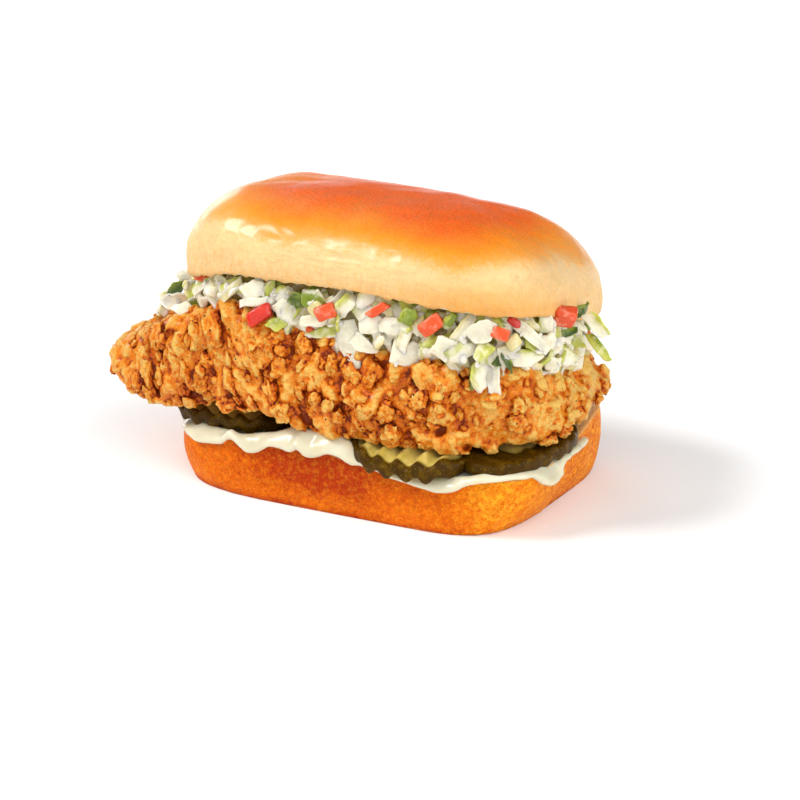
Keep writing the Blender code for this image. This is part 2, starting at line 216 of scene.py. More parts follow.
def loafMesh(name, cuts, squareness, place):
    # a gridded cube drawn into a loaf, by the same height code as the CAD: -1 to 1 up the side,
    # 1 to 2 in over the top and -1 to -2 in under the bottom
    body = bmesh.new()
    bmesh.ops.create_cube(body, size=2)
    for axis, number in enumerate(cuts):
        edges = [e for e in body.edges if abs(e.verts[0].co[axis] - e.verts[1].co[axis]) > 0.01]
        bmesh.ops.subdivide_edges(body, edges=edges, cuts=number, use_grid_fill=True)
    heights = []
    for vertex in body.verts:
        u, v, w = vertex.co
        ring = max(abs(u), abs(v), 1e-9)
        span = max((abs(u / ring) ** squareness + abs(v / ring) ** squareness) ** (1 / squareness), 1e-9)
        rise = w if ring > 0.9999 else math.copysign(2 - ring, w)
        vertex.co = place(u / ring / span, v / ring / span, rise)
        heights.append(rise)
    bmesh.ops.recalc_face_normals(body, faces=body.faces[:])
    mesh = bpy.data.meshes.new(name)
    body.to_mesh(mesh)
    body.free()
    mesh.shade_smooth()
    return addObject(name, mesh), np.array(heights)


def bakeModifiers(piece):
    graph = bpy.context.evaluated_depsgraph_get()
    made = bpy.data.meshes.new_from_object(piece.evaluated_get(graph))
    piece.modifiers.clear()
    old = piece.data
    piece.data = made
    bpy.data.meshes.remove(old)
    return piece


def remeshed(piece, voxel):
    fuse = piece.modifiers.new("fuse", "REMESH")
    fuse.mode = "VOXEL"
    fuse.voxel_size = voxel
    bakeModifiers(piece)
    piece.data.shade_smooth()
    return piece


def gathered(shapes):
    points, faces, count = [], [], 0
    for shapePoints, shapeFaces in shapes:
        points.append(shapePoints)
        faces.extend([tuple(i + count for i in face) for face in shapeFaces])
        count += len(shapePoints)
    return np.concatenate(points), faces


def joinShapes(name, shapes):
    return addMesh(name, *gathered(shapes))


def shapeOf(mesh):
    return pointsOf(mesh), [tuple(p.vertices) for p in mesh.polygons]


def ballShape(levels):
    ball = bmesh.new()
    bmesh.ops.create_icosphere(ball, subdivisions=levels, radius=1)
    points = np.array([vertex.co for vertex in ball.verts])
    faces = [[vertex.index for vertex in face.verts] for face in ball.faces]
    ball.free()
    return points, faces


def skinOf(*pieces):
    points, faces = gathered([shapeOf(piece.data) for piece in pieces])
    return BVHTree.FromPolygons(points.tolist(), faces)


def evenSpots(spots, count, rng, tries=10):
    # each spot taken is the one, of a few tries, farthest from those taken before it
    places = np.array([spot[0] for spot in spots])
    order = [rng.randrange(len(spots))]
    nearest = np.linalg.norm(places - places[order[0]], axis=1)
    while len(order) < count:
        picks = [rng.randrange(len(spots)) for _ in range(tries)]
        best = max(picks, key=lambda i: nearest[i])
        order.append(best)
        nearest = np.minimum(nearest, np.linalg.norm(places - places[best], axis=1))
    return [spots[i] for i in order]


# ways of making materials

def fillSocket(tree, socket, value):
    # with a number, a colour or another node's output
    if isinstance(value, bpy.types.NodeSocket):
        tree.links.new(value, socket)
    elif socket.type == "RGBA":
        socket.default_value = (*value, 1)
    else:
        socket.default_value = value


def addNode(tree, kind, values=None, **settings):
    node = tree.nodes.new(kind)
    for key, value in settings.items():
        setattr(node, key, value)
    for key, value in (values or {}).items():
        fillSocket(tree, node.inputs[key], value)
    return node


class Paint:
    # a material, with short names for the nodes that colour it
    def __init__(self, name):
        self.material = bpy.data.materials.new(name)
        self.material.use_nodes = True
        self.tree = self.material.node_tree
        self.shader = self.tree.nodes["Principled BSDF"]
        self.places = self.placesOf()

    def node(self, kind, values=None, **settings):
        return addNode(self.tree, kind, values, **settings).outputs

    def placesOf(self, stretch=(1, 1, 1)):
        here = self.node("ShaderNodeTexCoord")["Object"]
        return self.node("ShaderNodeMapping", {"Vector": here, "Scale": stretch})["Vector"]

    def noise(self, size, detail=3, roughness=0.55, distortion=0.0, places=None, output="Fac"):
        return self.node("ShaderNodeTexNoise", {
            "Vector": places or self.places, "Scale": 1 / size, "Detail": detail,
            "Roughness": roughness, "Distortion": distortion,
        })[output]

    def cells(self, size, feature="F1", places=None, output="Distance"):
        values = {"Vector": places or self.places, "Scale": 1 / size}
        return self.node("ShaderNodeTexVoronoi", values, feature=feature)[output]

    def stored(self, name, output="Fac"):
        return self.node("ShaderNodeAttribute", attribute_name=name)[output]

    def math(self, operation, one, two, clamp=False):
        return self.node("ShaderNodeMath", {0: one, 1: two}, operation=operation, use_clamp=clamp)[0]

    def times(self, one, two):
        return self.math("MULTIPLY", one, two)

    def shifted(self, value, amount, middle=0.5):
        return self.times(self.math("SUBTRACT", value, middle), amount)

    def total(self, *parts, clamp=False):
        level = parts[0]
        for part in parts[1:-1]:
            level = self.math("ADD", level, part)
        return self.math("ADD", level, parts[-1], clamp)

    def stretched(self, value, low, high, toLow=0.0, toHigh=1.0):
        return self.node("ShaderNodeMapRange", {
            "Value": value, "From Min": low, "From Max": high, "To Min": toLow, "To Max": toHigh,
        })["Result"]

    def ramp(self, value, stops):
        node = addNode(self.tree, "ShaderNodeValToRGB", {"Fac": value})
        elements = node.color_ramp.elements
        while len(elements) < len(stops):
            elements.new(0.5)
        for element, (place, colour) in zip(elements, stops):
            element.position = place
            element.color = (*colour, 1)
        return node.outputs["Color"]

    def mix(self, share, one, two, way="MIX"):
        node = addNode(self.tree, "ShaderNodeMix", {0: share}, data_type="RGBA", blend_type=way)
        for socket in node.inputs:
            if socket.type == "RGBA":
                fillSocket(self.tree, socket, one if socket.name == "A" else two)
        return next(socket for socket in node.outputs if socket.type == "RGBA")

    def finish(self, colour, bumps, values):
        # bumps are (height, distance in metres), each on top of the one before
        filled = {"Base Color": colour, **values}
        for height, distance in bumps:
            bump = {"Height": height, "Strength": 1.0, "Distance": distance}
            if "Normal" in filled:
                bump["Normal"] = filled["Normal"]
            filled["Normal"] = self.node("ShaderNodeBump", bump)["Normal"]
        for key, value in filled.items():
            fillSocket(self.tree, self.shader.inputs[key], value)
        return self.material


# the form that the CAD gives the sandwich, repeated here at a finer grain

roll = {
    "length": 109 * mm,
    "width": 74 * mm,
    "squareness": 4.6,
    "baseHeight": 15 * mm,
    "baseFoot": 0.955,
    "rimHeight": 59.5 * mm,
    "slopeBack": 0.12,
    "slopeSide": 0.02,
    "domeHeight": 22.5 * mm,
    "domeSpread": 1.012,
    "wallTurn": math.radians(52),
    "leftDroop": 5 * mm,
    "rightDroop": 8.5 * mm,
    "leftCrown": 2 * mm,
}
fillet = {
    "left": -78 * mm,
    "right": 59 * mm,
    "halfWidth": 37 * mm,
    "squareness": 3.3,
    "underside": 23.2 * mm,
    "topInset": 0.08,
    "footInset": 0.07,
    "tipLean": 13 * mm,
}
slaw = {"halfLength": 52 * mm, "halfWidth": 35 * mm, "squareness": 4.0, "depth": 11 * mm}


def rimHeight(x, y):
    left = roll["leftDroop"] * smoothStep(28 * mm, 56 * mm, -x)
    right = roll["rightDroop"] * smoothStep(30 * mm, 56 * mm, x) * smoothStep(-30 * mm, 20 * mm, y)
    return roll["rimHeight"] - roll["slopeBack"] * y - roll["slopeSide"] * x - left - right


def filletTop(x, y):
    crown = 3 * mm * hump(x, -26, 24)
    tip = 12 * mm * smoothStep(50 * mm, 80 * mm, -x)
    return rimHeight(x, y) - slaw["depth"] + crown - tip


def filletPoint(u, v, rise):
    part = min(1.0, max(0.0, (rise + 1) / 2))
    inward = max(0.0, abs(rise) - 1)
    reach = (1 - fillet["footInset"] * (1 - part) ** 3 - fillet["topInset"] * part**4) * (1 - inward)
    middle, half = (fillet["left"] + fillet["right"]) / 2, (fillet["right"] - fillet["left"]) / 2
    x = middle + u * reach * half
    shoulder = 0.80 + 0.11 * hump(x, -30, 22)
    level = shoulder * part
    if rise > 1:
        level += (1 - shoulder) * (1 - (1 - inward) ** 3)
    taper = smoothStep(22 * mm, 82 * mm, -x)
    y = v * reach * fillet["halfWidth"] * (1 - 0.34 * taper) - fillet["tipLean"] * taper
    under = fillet["underside"] + 0.012 * x - 1.2 * mm * smoothStep(50 * mm, 78 * mm, -x)
    return Vector((x, y, under + (filletTop(x, y) - under) * level))


def basePoint(u, v, rise):
    if rise <= -1:
        reach, z = roll["baseFoot"] * (2 + rise), 0
    elif rise < 1:
        part = (rise + 1) / 2
        reach = 1 - (1 - roll["baseFoot"]) * (1 - part) ** 3 - 0.012 * part**4
        z = roll["baseHeight"] * part
    else:
        reach, z = 0.988 * (2 - rise), roll["baseHeight"]
    return Vector((u * reach * roll["length"] / 2, v * reach * roll["width"] / 2, z))


def domePoint(u, v, rise):
    if rise <= -1:
        reach, lift = 0.975 * (2 + rise), 0
    else:
        angle = roll["wallTurn"] * (rise + 1) / 2
        if rise > 1:
            angle = roll["wallTurn"] + (math.pi / 2 - roll["wallTurn"]) * (rise - 1)
        reach = math.cos(angle) ** 0.72 - 0.025 * (1 - min(1, (rise + 1) / 0.7)) ** 2
        lift = roll["domeHeight"] * math.sin(angle) ** 0.84
    x = u * reach * roll["domeSpread"] * roll["length"] / 2
    y = v * reach * roll["domeSpread"] * roll["width"] / 2
    share = lift / roll["domeHeight"]
    level = roll["rimHeight"] - roll["slopeBack"] * y - roll["slopeSide"] * x
    sag = (rimHeight(x, y) - level) * (1 - share * (0.55 if x > 0 else 1))
    swell = roll["leftCrown"] * share * smoothStep(-15 * mm, 46 * mm, -x)
    return Vector((x, y, level + sag + swell + lift))


# the roll's top half

topBun = {
    "cuts": (120, 82, 48),
    "wobble": 0.7 * mm,
    "dimples": 0.28,  # mm
    "wrinkle": 0.55 * mm,
    "tearDepth": 0.70 * mm,
    "rimRise": 1.4 * mm,  # of the lower edge, in the middle of the front
    # how far the crown stands above the plain loaf, along its length, both in mm
    "crest": (
        (-60, 0.8), (-50, 2.1), (-43, 2.1), (-38, 0.6), (-33, -0.9), (-28, -1.5), (-22, -1.3),
        (-14, -0.9), (0, -0.9), (40, -1.0), (46, 0.4), (51, 1.6), (56, 2.4),
    ),
    # cream at the rim to deep brown on the crown
    "bakes": (
        (0.00, (0.860, 0.590, 0.275)),
        (0.38, (0.880, 0.580, 0.265)),
        (0.54, (0.880, 0.370, 0.065)),
        (0.70, (0.950, 0.275, 0.008)),
        (0.97, (0.860, 0.118, 0.001)),
    ),
    "giltColour": (0.850, 0.390, 0.085),
    "crumbColour": (0.900, 0.740, 0.470),
    "shader": {
        "Subsurface Weight": 0.10, "Subsurface Radius": (0.004, 0.002, 0.001), "Subsurface Scale": 1.0,
        "Specular IOR Level": 0.08, "Coat Roughness": 0.25,
    },
}


def topBunMaterial():
    paint = Paint("glazedBrioche")
    rise = paint.stored("bake")  # 0 at the rim, 1 on the crown
    patches = paint.noise(15 * mm)
    blotches = paint.noise(4.2 * mm, 4, 0.6, 0.5)
    grain = paint.noise(1.0 * mm, 4, 0.7)
    fine = paint.noise(0.36 * mm, 2, 0.6)
    threads = paint.noise(0.9 * mm, 3, 0.6, places=paint.placesOf((1, 1, 0.3)))
    wrinkles = paint.noise(4 * mm, 3, 0.6, 0.8, paint.placesOf((1, 1, 2.4)))
    level = paint.total(rise, paint.shifted(patches, 0.34), paint.shifted(blotches, 0.20),
                        paint.shifted(grain, 0.34), clamp=True)
    crust = paint.ramp(level, topBun["bakes"])
    gilt = paint.times(paint.stored("gilt"), paint.stretched(grain, 0.35, 0.6, 0.60, 1.0))
    crust = paint.mix(gilt, crust, topBun["giltColour"])
    wallGrain = paint.times(paint.stretched(grain, 0.30, 0.60, 0.92, 1.03),
                            paint.stretched(blotches, 0.35, 0.65, 0.93, 1.04))
    crust = paint.mix(1.0, crust, wallGrain, "MULTIPLY")
    # upright golden fibres in the torn lower wall
    torn = paint.stretched(rise, 0.06, 0.36, 1.0, 0.0)
    golden = paint.times(torn, paint.stretched(threads, 0.36, 0.56, 0.42, 0.0))
    crust = paint.mix(golden, crust, topBun["giltColour"])
    # specks and pores show on the crown alone
    specks = paint.times(paint.stretched(fine, 0.38, 0.60, 0.80, 1.16),
                         paint.stretched(grain, 0.34, 0.50, 0.82, 1.0))
    shade = paint.mix(paint.stretched(level, 0.52, 0.76), (1.0, 1.0, 1.0), specks)
    crust = paint.mix(1.0, crust, shade, "MULTIPLY")
    colour = paint.mix(paint.stretched(rise, -0.02, 0.015), topBun["crumbColour"], crust)
    gloss = paint.total(paint.stretched(level, 0.16, 0.44, 0.50, 0.36), paint.shifted(blotches, 0.22))
    glaze = paint.total(paint.stretched(level, 0.18, 0.46, 0.03, 0.62),
                        paint.shifted(blotches, 0.50), clamp=True)
    bumps = ((wrinkles, 0.42 * mm), (blotches, 0.34 * mm), (threads, 0.16 * mm),
             (grain, 0.42 * mm), (fine, 0.17 * mm))
    return paint.finish(colour, bumps, {**topBun["shader"], "Roughness": gloss, "Coat Weight": glaze})


def crestAt(places):
    # the table of the crown's height, smoothed three times, read at each place, in mm
    along = np.linspace(-70, 70, 281)
    crest = np.interp(along, *zip(*topBun["crest"]))
    for _ in range(3):
        crest = np.convolve(np.pad(crest, 7, "edge"), np.ones(15) / 15, "valid")
    return np.interp(places / mm, along, crest)


def makeTopBun():
    piece, heights = loafMesh("topBun", topBun["cuts"], roll["squareness"] - 0.4, domePoint)
    mesh = piece.data
    points, normals = pointsOf(mesh), normalsOf(mesh)
    x, y, z = points.T  # these follow the points as they move
    above = z - np.array([rimHeight(*p[:2]) for p in points])
    share = above / roll["domeHeight"]
    onDome = heights > -1.001
    z += np.where(above > 3 * mm, noiseAt(points, 26 * mm) * topBun["wobble"], 0)
    z += np.clip(share, 0, 1) ** 1.5 * crestAt(x) * mm
    dimples = noiseAt(points, 7 * mm, 3.1) * topBun["dimples"] * mm
    points += normals * (dimples * onDome)[:, None]
    # short level wrinkles in the wall, deepest along the front
    wall = smoothStep(0.12, 0.30, share) * smoothStep(0.78, 0.50, share) * np.where(y < 0, 1.0, 0.6)
    creases = np.array([noiseOf(a / (6 * mm), b / (6 * mm), c / (2.2 * mm)) for a, b, c in points])
    points += normals * (-np.abs(creases) * topBun["wrinkle"] * wall)[:, None]
    # the torn lip along the cut, with short upright fibres
    lip = np.clip(1 - above / (3.2 * mm), 0, 1) * onDome
    around = np.arctan2(y * 1.4, x)
    fibres = np.array([noiseOf(a * 36, c / (5 * mm), 0) for a, c in zip(around, z)])
    coarse = np.array([noiseOf(a * 17, 4.2, 0) for a in around])
    points += normals * ((fibres + 0.6 * coarse) * topBun["tearDepth"] * lip)[:, None]
    z += np.where(lip > 0.5, (coarse * 1.1 + fibres * 1.4) * mm * (lip - 0.5) / 0.5, 0)
    front = smoothStep(-10 * mm, -28 * mm, y) * hump(x, 4, 22)
    z += topBun["rimRise"] * front * np.clip(1 - above / (9 * mm), 0, 1)
    movePoints(mesh, points)
    # bake level by height: paler at the right end and in the front middle, darker right of the middle on the
    # crown; paler toward the left end, partly as a lighter bake and partly as painted sheen
    bake = share - 0.16 * smoothStep(30 * mm, 52 * mm, x) - 0.21 * smoothStep(-12 * mm, -44 * mm, x)
    bake -= 0.06 * hump(x, 0, 26) * (y < 0)
    bake += 0.06 * hump(x, 24, 14) * smoothStep(0.5, 0.8, share)
    # golden along the lower edge, most of all right of the middle
    near = hump(x, 39, 20) * (y < 0)
    gilt = (0.30 + 0.70 * near) * smoothStep(0.16 + 0.44 * near, 0.04 * near, share)
    paintNumbers(mesh, "gilt", gilt * onDome)
    paintNumbers(mesh, "bake", np.where(onDome, np.clip(bake, 0.02, 1.2), -0.1))
    mesh.materials.append(topBunMaterial())
    return piece


# the roll's base

baseBun = {
    "cuts": (120, 84, 34),
    "bakes": (
        (0.18, (0.820, 0.270, 0.006)),
        (0.42, (0.760, 0.150, 0.001)),
        (0.78, (0.420, 0.034, 0.001)),
    ),
    "creaseColour": (0.930, 0.440, 0.030),
    "granuleColour": (1.000, 0.430, 0.020),
    "cutColour": (0.860, 0.540, 0.200),
    "shader": {
        "Roughness": 0.50, "Specular IOR Level": 0.07,
        "Subsurface Weight": 0.08, "Subsurface Radius": (0.003, 0.001, 0.0005), "Subsurface Scale": 1.0,
    },
    "netBend": 2.4 * mm,
    "longer": 1.03,  # at the left end
    "footDraw": 5.0 * mm,  # at the near right corner
    # how far the edge stands above the cut face, along the front, all in mm
    "lip": (
        (-54, 0.0), (-36, 0.2), (-32, 2.9), (-29, 1.0), (-25, 0.5), (-20.5, 2.5), (-14, 2.2), (-11.4, 3.8),
        (-8.4, 2.0), (-3, 3.2), (5, 1.7), (14, 0.6), (30, 0.3), (36, 1.1), (44, 2.1), (55, 2.2),
    ),
    "endLip": ((-37, 2.2), (-12, 1.9), (-5, 2.1), (5, 3.0), (15, 4.4), (24, 4.6), (31, 3.0), (36, 0.0)),
}


def lipHeight(x, y):
    front = alongTable(baseBun["lip"], x / mm) * smoothStep(-24 * mm, -31 * mm, y)
    side = alongTable(baseBun["endLip"], y / mm) * smoothStep(44 * mm, 51 * mm, x)
    return max(front, side) * mm


def baseBunMaterial():
    paint = Paint("bakedBrioche")
    patches = paint.noise(26 * mm, 2, 0.5, 0.3)
    mottle = paint.noise(4.5 * mm, 4, 0.65)
    grain = paint.noise(0.9 * mm, 4, 0.7)
    granules = paint.noise(1.5 * mm, 3, 0.65)
    corner = paint.stored("corner")
    level = paint.total(paint.times(patches, 0.45), paint.times(mottle, 0.45),
                        paint.shifted(grain, 0.75), paint.stored("toast"), clamp=True)
    crust = paint.ramp(level, baseBun["bakes"])
    # a net of pale creases over the near right corner
    bend = baseBun["netBend"]
    bent = paint.noise(bend, 2, 0.5, output="Color")
    bentPlaces = paint.node("ShaderNodeVectorMath", {0: bent, 1: (bend, bend, bend), 2: paint.places},
                            operation="MULTIPLY_ADD")[0]
    net = paint.cells(1.9 * mm, "DISTANCE_TO_EDGE", bentPlaces)
    crease = paint.times(paint.stretched(net, 0.02, 0.16, 1.0, 0.0), corner)
    crust = paint.mix(paint.times(crease, 0.34), crust, baseBun["creaseColour"])
    pale = paint.times(paint.stretched(granules, 0.50, 0.60), paint.stretched(corner, 0.0, 1.0, 0.16, 0.80))
    crust = paint.mix(pale, crust, baseBun["granuleColour"])
    pores = paint.stretched(paint.noise(0.55 * mm, 2, 0.6), 0.36, 0.56, 0.84, 1.05)
    crust = paint.mix(1.0, crust, pores, "MULTIPLY")
    colour = paint.mix(paint.stored("cut"), crust, baseBun["cutColour"])
    bumps = ((mottle, 0.7 * mm), (granules, 0.45 * mm), (grain, 0.24 * mm), (net, 0.20 * mm))
    return paint.finish(colour, bumps, baseBun["shader"])


def makeBaseBun():
    piece, heights = loafMesh("baseBun", baseBun["cuts"], roll["squareness"], basePoint)
    mesh = piece.data
    points, normals = pointsOf(mesh), normalsOf(mesh)
    x, y, z = points.T  # these follow the points as they move
    onSide = (np.abs(heights) < 1.0).astype(float)
    swell = noiseAt(points, 16 * mm, 1.7) * 0.5 + noiseAt(points, 4 * mm, 5.2) * 0.22
    # creases at the near right corner, where the crumb shows through
    corner = hump(x, 46, 9) * (y < -8 * mm)
    creases = np.array([noise.noise(Vector((a / 2.2, b / 2.2, c / 7)) / mm) for a, b, c in points])
    points += normals * ((swell + corner * creases * 0.7) * onSide * mm)[:, None]
    # the edge curls up round the filling
    curled = np.where(heights > 1, 1 - smoothStep(0, 0.17, heights - 1), smoothStep(2 * mm, 15 * mm, z))
    lips = np.array([lipHeight(*p[:2]) for p in points])
    z[:] = np.maximum(z, 0) + lips * curled
    x *= np.where(x < 0, baseBun["longer"], 1.0)
    # the foot of the right end draws in towards the near corner
    drawn = smoothStep(26 * mm, 50 * mm, x) * np.clip((20 * mm - y) / (42 * mm), 0, 1)
    x -= baseBun["footDraw"] * drawn * np.clip(1 - z / (15 * mm), 0, 1) ** 1.1
    movePoints(mesh, points)
    middle = hump(x, -8, 22) * (y < 0) * np.clip(z / (9 * mm), 0.2, 1)
    foot = np.clip(1 - z / (2.2 * mm), 0, 1)
    toast = 0.44 * middle + 0.25 * foot - 0.20 * corner + 0.16 * corner * np.abs(creases) - 0.02
    paintNumbers(mesh, "toast", toast)
    paintNumbers(mesh, "corner", np.maximum(corner, smoothStep(46 * mm, 52 * mm, x) * 0.8))
    paintNumbers(mesh, "cut", np.clip((heights - 0.93) / 0.1, 0, 1))
    mesh.materials.append(baseBunMaterial())
    return piece


# the breaded fillet: a core with nuggets fused on, knobbly all over, then crisp lumps and flakes

crust = {
    "cuts": (60, 34, 18),
    "seed": 5,
    "nuggets": 560,
    "nuggetSize": (1.5 * mm, 2.9 * mm),
    "voxel": 0.82 * mm,
    "knobSize": 1.7 * mm,
    "knobHeight": 0.34 * mm,
    "crisps": 430,
    "crispSize": (1.5 * mm, 2.6 * mm),
    "crispKnob": 0.95 * mm,
    "crispKnobHeight": 0.27 * mm,
    # how many to a square metre, their sizes, and how far each may lean
    "flakes": {"Density": 0.034e6, "Least": 0.35, "Greatest": 1.15, "Tilt": 0.9, "Seed": 3},
    "reach": 3.2 * mm,  # how far off a lump still shades a crease
    # dark red-brown where the painted shade is deepest, then brown, gold and pale gold on what stands out
    "colours": (
        (0.14, (0.300, 0.036, 0.001)),
        (0.35, (0.780, 0.138, 0.003)),
        (0.60, (0.970, 0.288, 0.009)),
        (0.96, (1.000, 0.600, 0.130)),
    ),
    "pepperColour": (0.035, 0.012, 0.004),
    "shader": {
        "Subsurface Weight": 0.08, "Subsurface Radius": (0.0025, 0.001, 0.0004), "Subsurface Scale": 1.0,
        "Specular IOR Level": 0.14, "Coat Weight": 0.22, "Coat Roughness": 0.20,
    },
}


def breadingMaterial(name, loose=False):
    paint = Paint(name)
    patches = paint.noise(11 * mm, 2, 0.5)
    mottle = paint.noise(2.2 * mm, 4, 0.65)
    grain = paint.noise(0.55 * mm, 3, 0.7)
    knobs = paint.math("SUBTRACT", 1.0, paint.cells(1.0 * mm, "SMOOTH_F1"))
    # on the crust the stored numbers carry painted shade in the creases and a random tint for each lump; loose
    # flakes use the mottle alone
    stand = mottle if loose else paint.stored("stand")
    level = paint.total(stand, paint.shifted(mottle, 0.34), paint.shifted(patches, 0.26),
                        paint.shifted(grain, 0.55), paint.shifted(knobs, 0.50, 0.62), clamp=True)
    # black pepper, one speck here and there
    near = paint.stretched(paint.cells(2.6 * mm), 0.10, 0.15, 1.0, 0.0)
    chosen = paint.node("ShaderNodeSeparateColor", {0: paint.cells(2.6 * mm, output="Color")})[0]
    pepper = paint.times(near, paint.stretched(chosen, 0.78, 0.80))
    colour = paint.mix(pepper, paint.ramp(level, crust["colours"]), crust["pepperColour"])
    gloss = paint.stretched(grain, 0.3, 0.7, 0.34, 0.62)
    bumps = ((mottle, 0.50 * mm), (knobs, 0.60 * mm), (grain, 0.72 * mm))
    return paint.finish(colour, bumps, {**crust["shader"], "Roughness": gloss})


def openness(piece, skin, reach):
    # share of rays that leave a point without meeting the crust again: low down in the creases
    ways = []
    for number in range(8):
        height = (number + 0.5) / 8
        across, angle = math.sqrt(1 - height * height), number * 2.39996
        ways.append((across * math.cos(angle), across * math.sin(angle), height))
    found = []
    for vertex in piece.data.vertices:
        normal = vertex.normal
        side = normal.orthogonal().normalized()
        other = normal.cross(side)
        start = vertex.co + normal * 0.12 * mm
        rays = [side * a + other * b + normal * c for a, b, c in ways]
        free = sum(skin.ray_cast(start, ray, reach)[0] is None for ray in rays)
        found.append(free / 8)
    return blurAlong(piece.data, np.array(found), 2)


def shadeCrust(pieces):
    # painted shade: dark down between the lumps and lower down, also high up under the slaw; bright on what
    # stands out, painted light at the right end, and a random tint for each lump
    skin = skinOf(*pieces)
    for piece in pieces:
        mesh = piece.data
        free = openness(piece, skin, crust["reach"])
        x, _, z = pointsOf(mesh).T
        tint = np.zeros(len(free))
        if "tint" in mesh.attributes:
            mesh.attributes["tint"].data.foreach_get("value", tint)
        # painted shade lower down and high up under the slaw, and painted light towards the right end
        low = smoothStep(42 * mm, 25 * mm, z)
        close = standsOut(mesh, 4, 0.30 * mm)
        shaded = 0.12 * smoothStep(39 * mm, 46 * mm, z) - 0.12 * smoothStep(44 * mm, 56 * mm, x)
        # painted shade down in the creases, from the share of free rays and from what sinks in
        stand = -0.10 + 1.04 * free + 0.19 * close - 0.17 * low - shaded + tint
        paintNumbers(mesh, "stand", np.clip(stand, 0, 1))


def nuggetShape(ball, size, rng, long=1.9):
    # a lump of breading, longer than it is wide, with a few knobs of its own
    points, faces = ball
    stretch = np.array([rng.uniform(0.75, 1.1), rng.uniform(0.9, long), rng.uniform(0.7, 1.05)]) * size
    shift = jitter(rng, 50)
    swell = np.array([
        1 + 0.62 * noise.noise(Vector(p) * 1.2 + shift) + 0.30 * noise.noise(Vector(p) * 3.1 - shift)
        for p in points
    ])
    return points * swell[:, None] * stretch, faces


def crustFloor(points):
    # how low the crust comes: it stops higher over the front left slice
    x, y, _ = points.T
    lift = smoothStep(-50 * mm, -38 * mm, x) * smoothStep(-8 * mm, -22 * mm, x)
    lift *= smoothStep(-10 * mm, -24 * mm, y)
    ragged = noiseAt(points, 3.4 * mm, 7.7) * lift * 2.4 * mm
    return fillet["underside"] + (3.9 * lift - 1.0) * mm - ragged


def makeFilletCore():
    piece, heights = loafMesh("filletForm", crust["cuts"], fillet["squareness"], filletPoint)
    mesh = piece.data
    points, normals = pointsOf(mesh), normalsOf(mesh)
    rough = noiseAt(points, 13 * mm, 0.4) * 1.4 * mm + noiseAt(points, 5 * mm, 8.4) * 0.9 * mm - 0.7 * mm
    points += normals * (rough * (heights < 1.35) * (heights > -1.2))[:, None]
    points[:, 2] = np.maximum(points[:, 2], crustFloor(points) + 0.6 * mm)
    tip = smoothStep(-56 * mm, -78 * mm, points[:, 0])
    points += np.column_stack([1.2 * tip, 0 * tip, 3.4 * tip]) * mm
    movePoints(mesh, points)
    return piece, heights


def ribbedAt(point):
    # long ribs run down the left half, rounder lumps lie elsewhere
    return smoothStep(2 * mm, -22 * mm, point[0]) * smoothStep(-72 * mm, -60 * mm, point[0])


def lumpTurn(outward, ribbed, lean, rng):
    upward = Vector((rng.uniform(-lean, lean) - 0.25 * ribbed, rng.uniform(-lean, lean), 1))
    return np.array(framed(upward.cross(outward).normalized(), outward))


def lumpPlaced(points, turn, middle):
    placed = points @ turn.T + np.array(middle)
    placed[:, 2] = np.maximum(placed[:, 2], crustFloor(placed))
    return placed


def makeFillet():
    form, heights = makeFilletCore()
    corners = zip(pointsOf(form.data), normalsOf(form.data), heights)
    spots = [(point, normal) for point, normal, rise in corners if -1.10 < rise < 1.34]
    rng = random.Random(crust["seed"])
    ball = ballShape(3)
    shapes = [shapeOf(form.data)]
    for point, normal in evenSpots(spots, crust["nuggets"], rng, 14):
        plain = smoothStep(22 * mm, 36 * mm, point[0]) * smoothStep(44 * mm, 34 * mm, point[2])
        patch = noise.noise(Vector(point) / (15 * mm) + Vector((2, 5, 1)))
        if rng.random() < 0.8 * max(plain, smoothStep(0.25, 0.45, patch)):
            continue
        size = rng.uniform(*crust["nuggetSize"]) * rng.choice((0.7, 0.9, 1, 1.2, 1.45))
        ribbed = ribbedAt(point)
        lump, faces = nuggetShape(ball, size, rng, 1.3 + 1.3 * ribbed)
        outward = Vector(normal)
        turn = lumpTurn(outward, ribbed, 0.3 + 0.7 * (1 - ribbed), rng)
        middle = Vector(point) + outward * rng.uniform(0.0, 0.55) * size
        shapes.append((lumpPlaced(lump, turn, middle), faces))
    bpy.data.objects.remove(form)
    piece = remeshed(joinShapes("breadedFillet", shapes), crust["voxel"])
    mesh = piece.data
    points, normals = pointsOf(mesh), normalsOf(mesh)
    knobs = knobsAt(points, crust["knobSize"]) * crust["knobHeight"]
    fine = noiseAt(points, 1.5 * mm, 2.2) * 0.34 * mm
    up = normals[:, 2]
    shown = np.clip((0.97 - up) / 0.2, 0, 1) * np.clip((up + 0.98) / 0.2, 0, 1)
    points += normals * (knobs * shown)[:, None]
    points += normals * (fine * shown)[:, None]
    movePoints(mesh, points)
    paintNumbers(mesh, "open", shown)
    mesh.materials.append(breadingMaterial("breading"))
    print("fillet crust:", len(mesh.polygons), "faces")
    return piece, spots


def crispShape(ball, size, rng, long):
    # a crumpled lump: folds from ridged noise over a stretched ball
    points, faces = ball
    stretch = np.array([rng.uniform(0.75, 1.15), rng.uniform(0.9, long), rng.uniform(0.65, 1.0)]) * size
    shift = jitter(rng, 50)
    swell = []
    for p in points:
        p = Vector(p)
        fold = 1 - 2 * abs(noise.noise(p * 1.1 + shift))
        fine = 0.17 * noise.noise(p * 4.2 + shift) + 0.08 * noise.noise(p * 8.5 - shift)
        swell.append(0.80 + 0.36 * noise.noise(p * 1.5 - shift) + 0.17 * fold + fine)
    return points * np.array(swell)[:, None] * stretch, faces


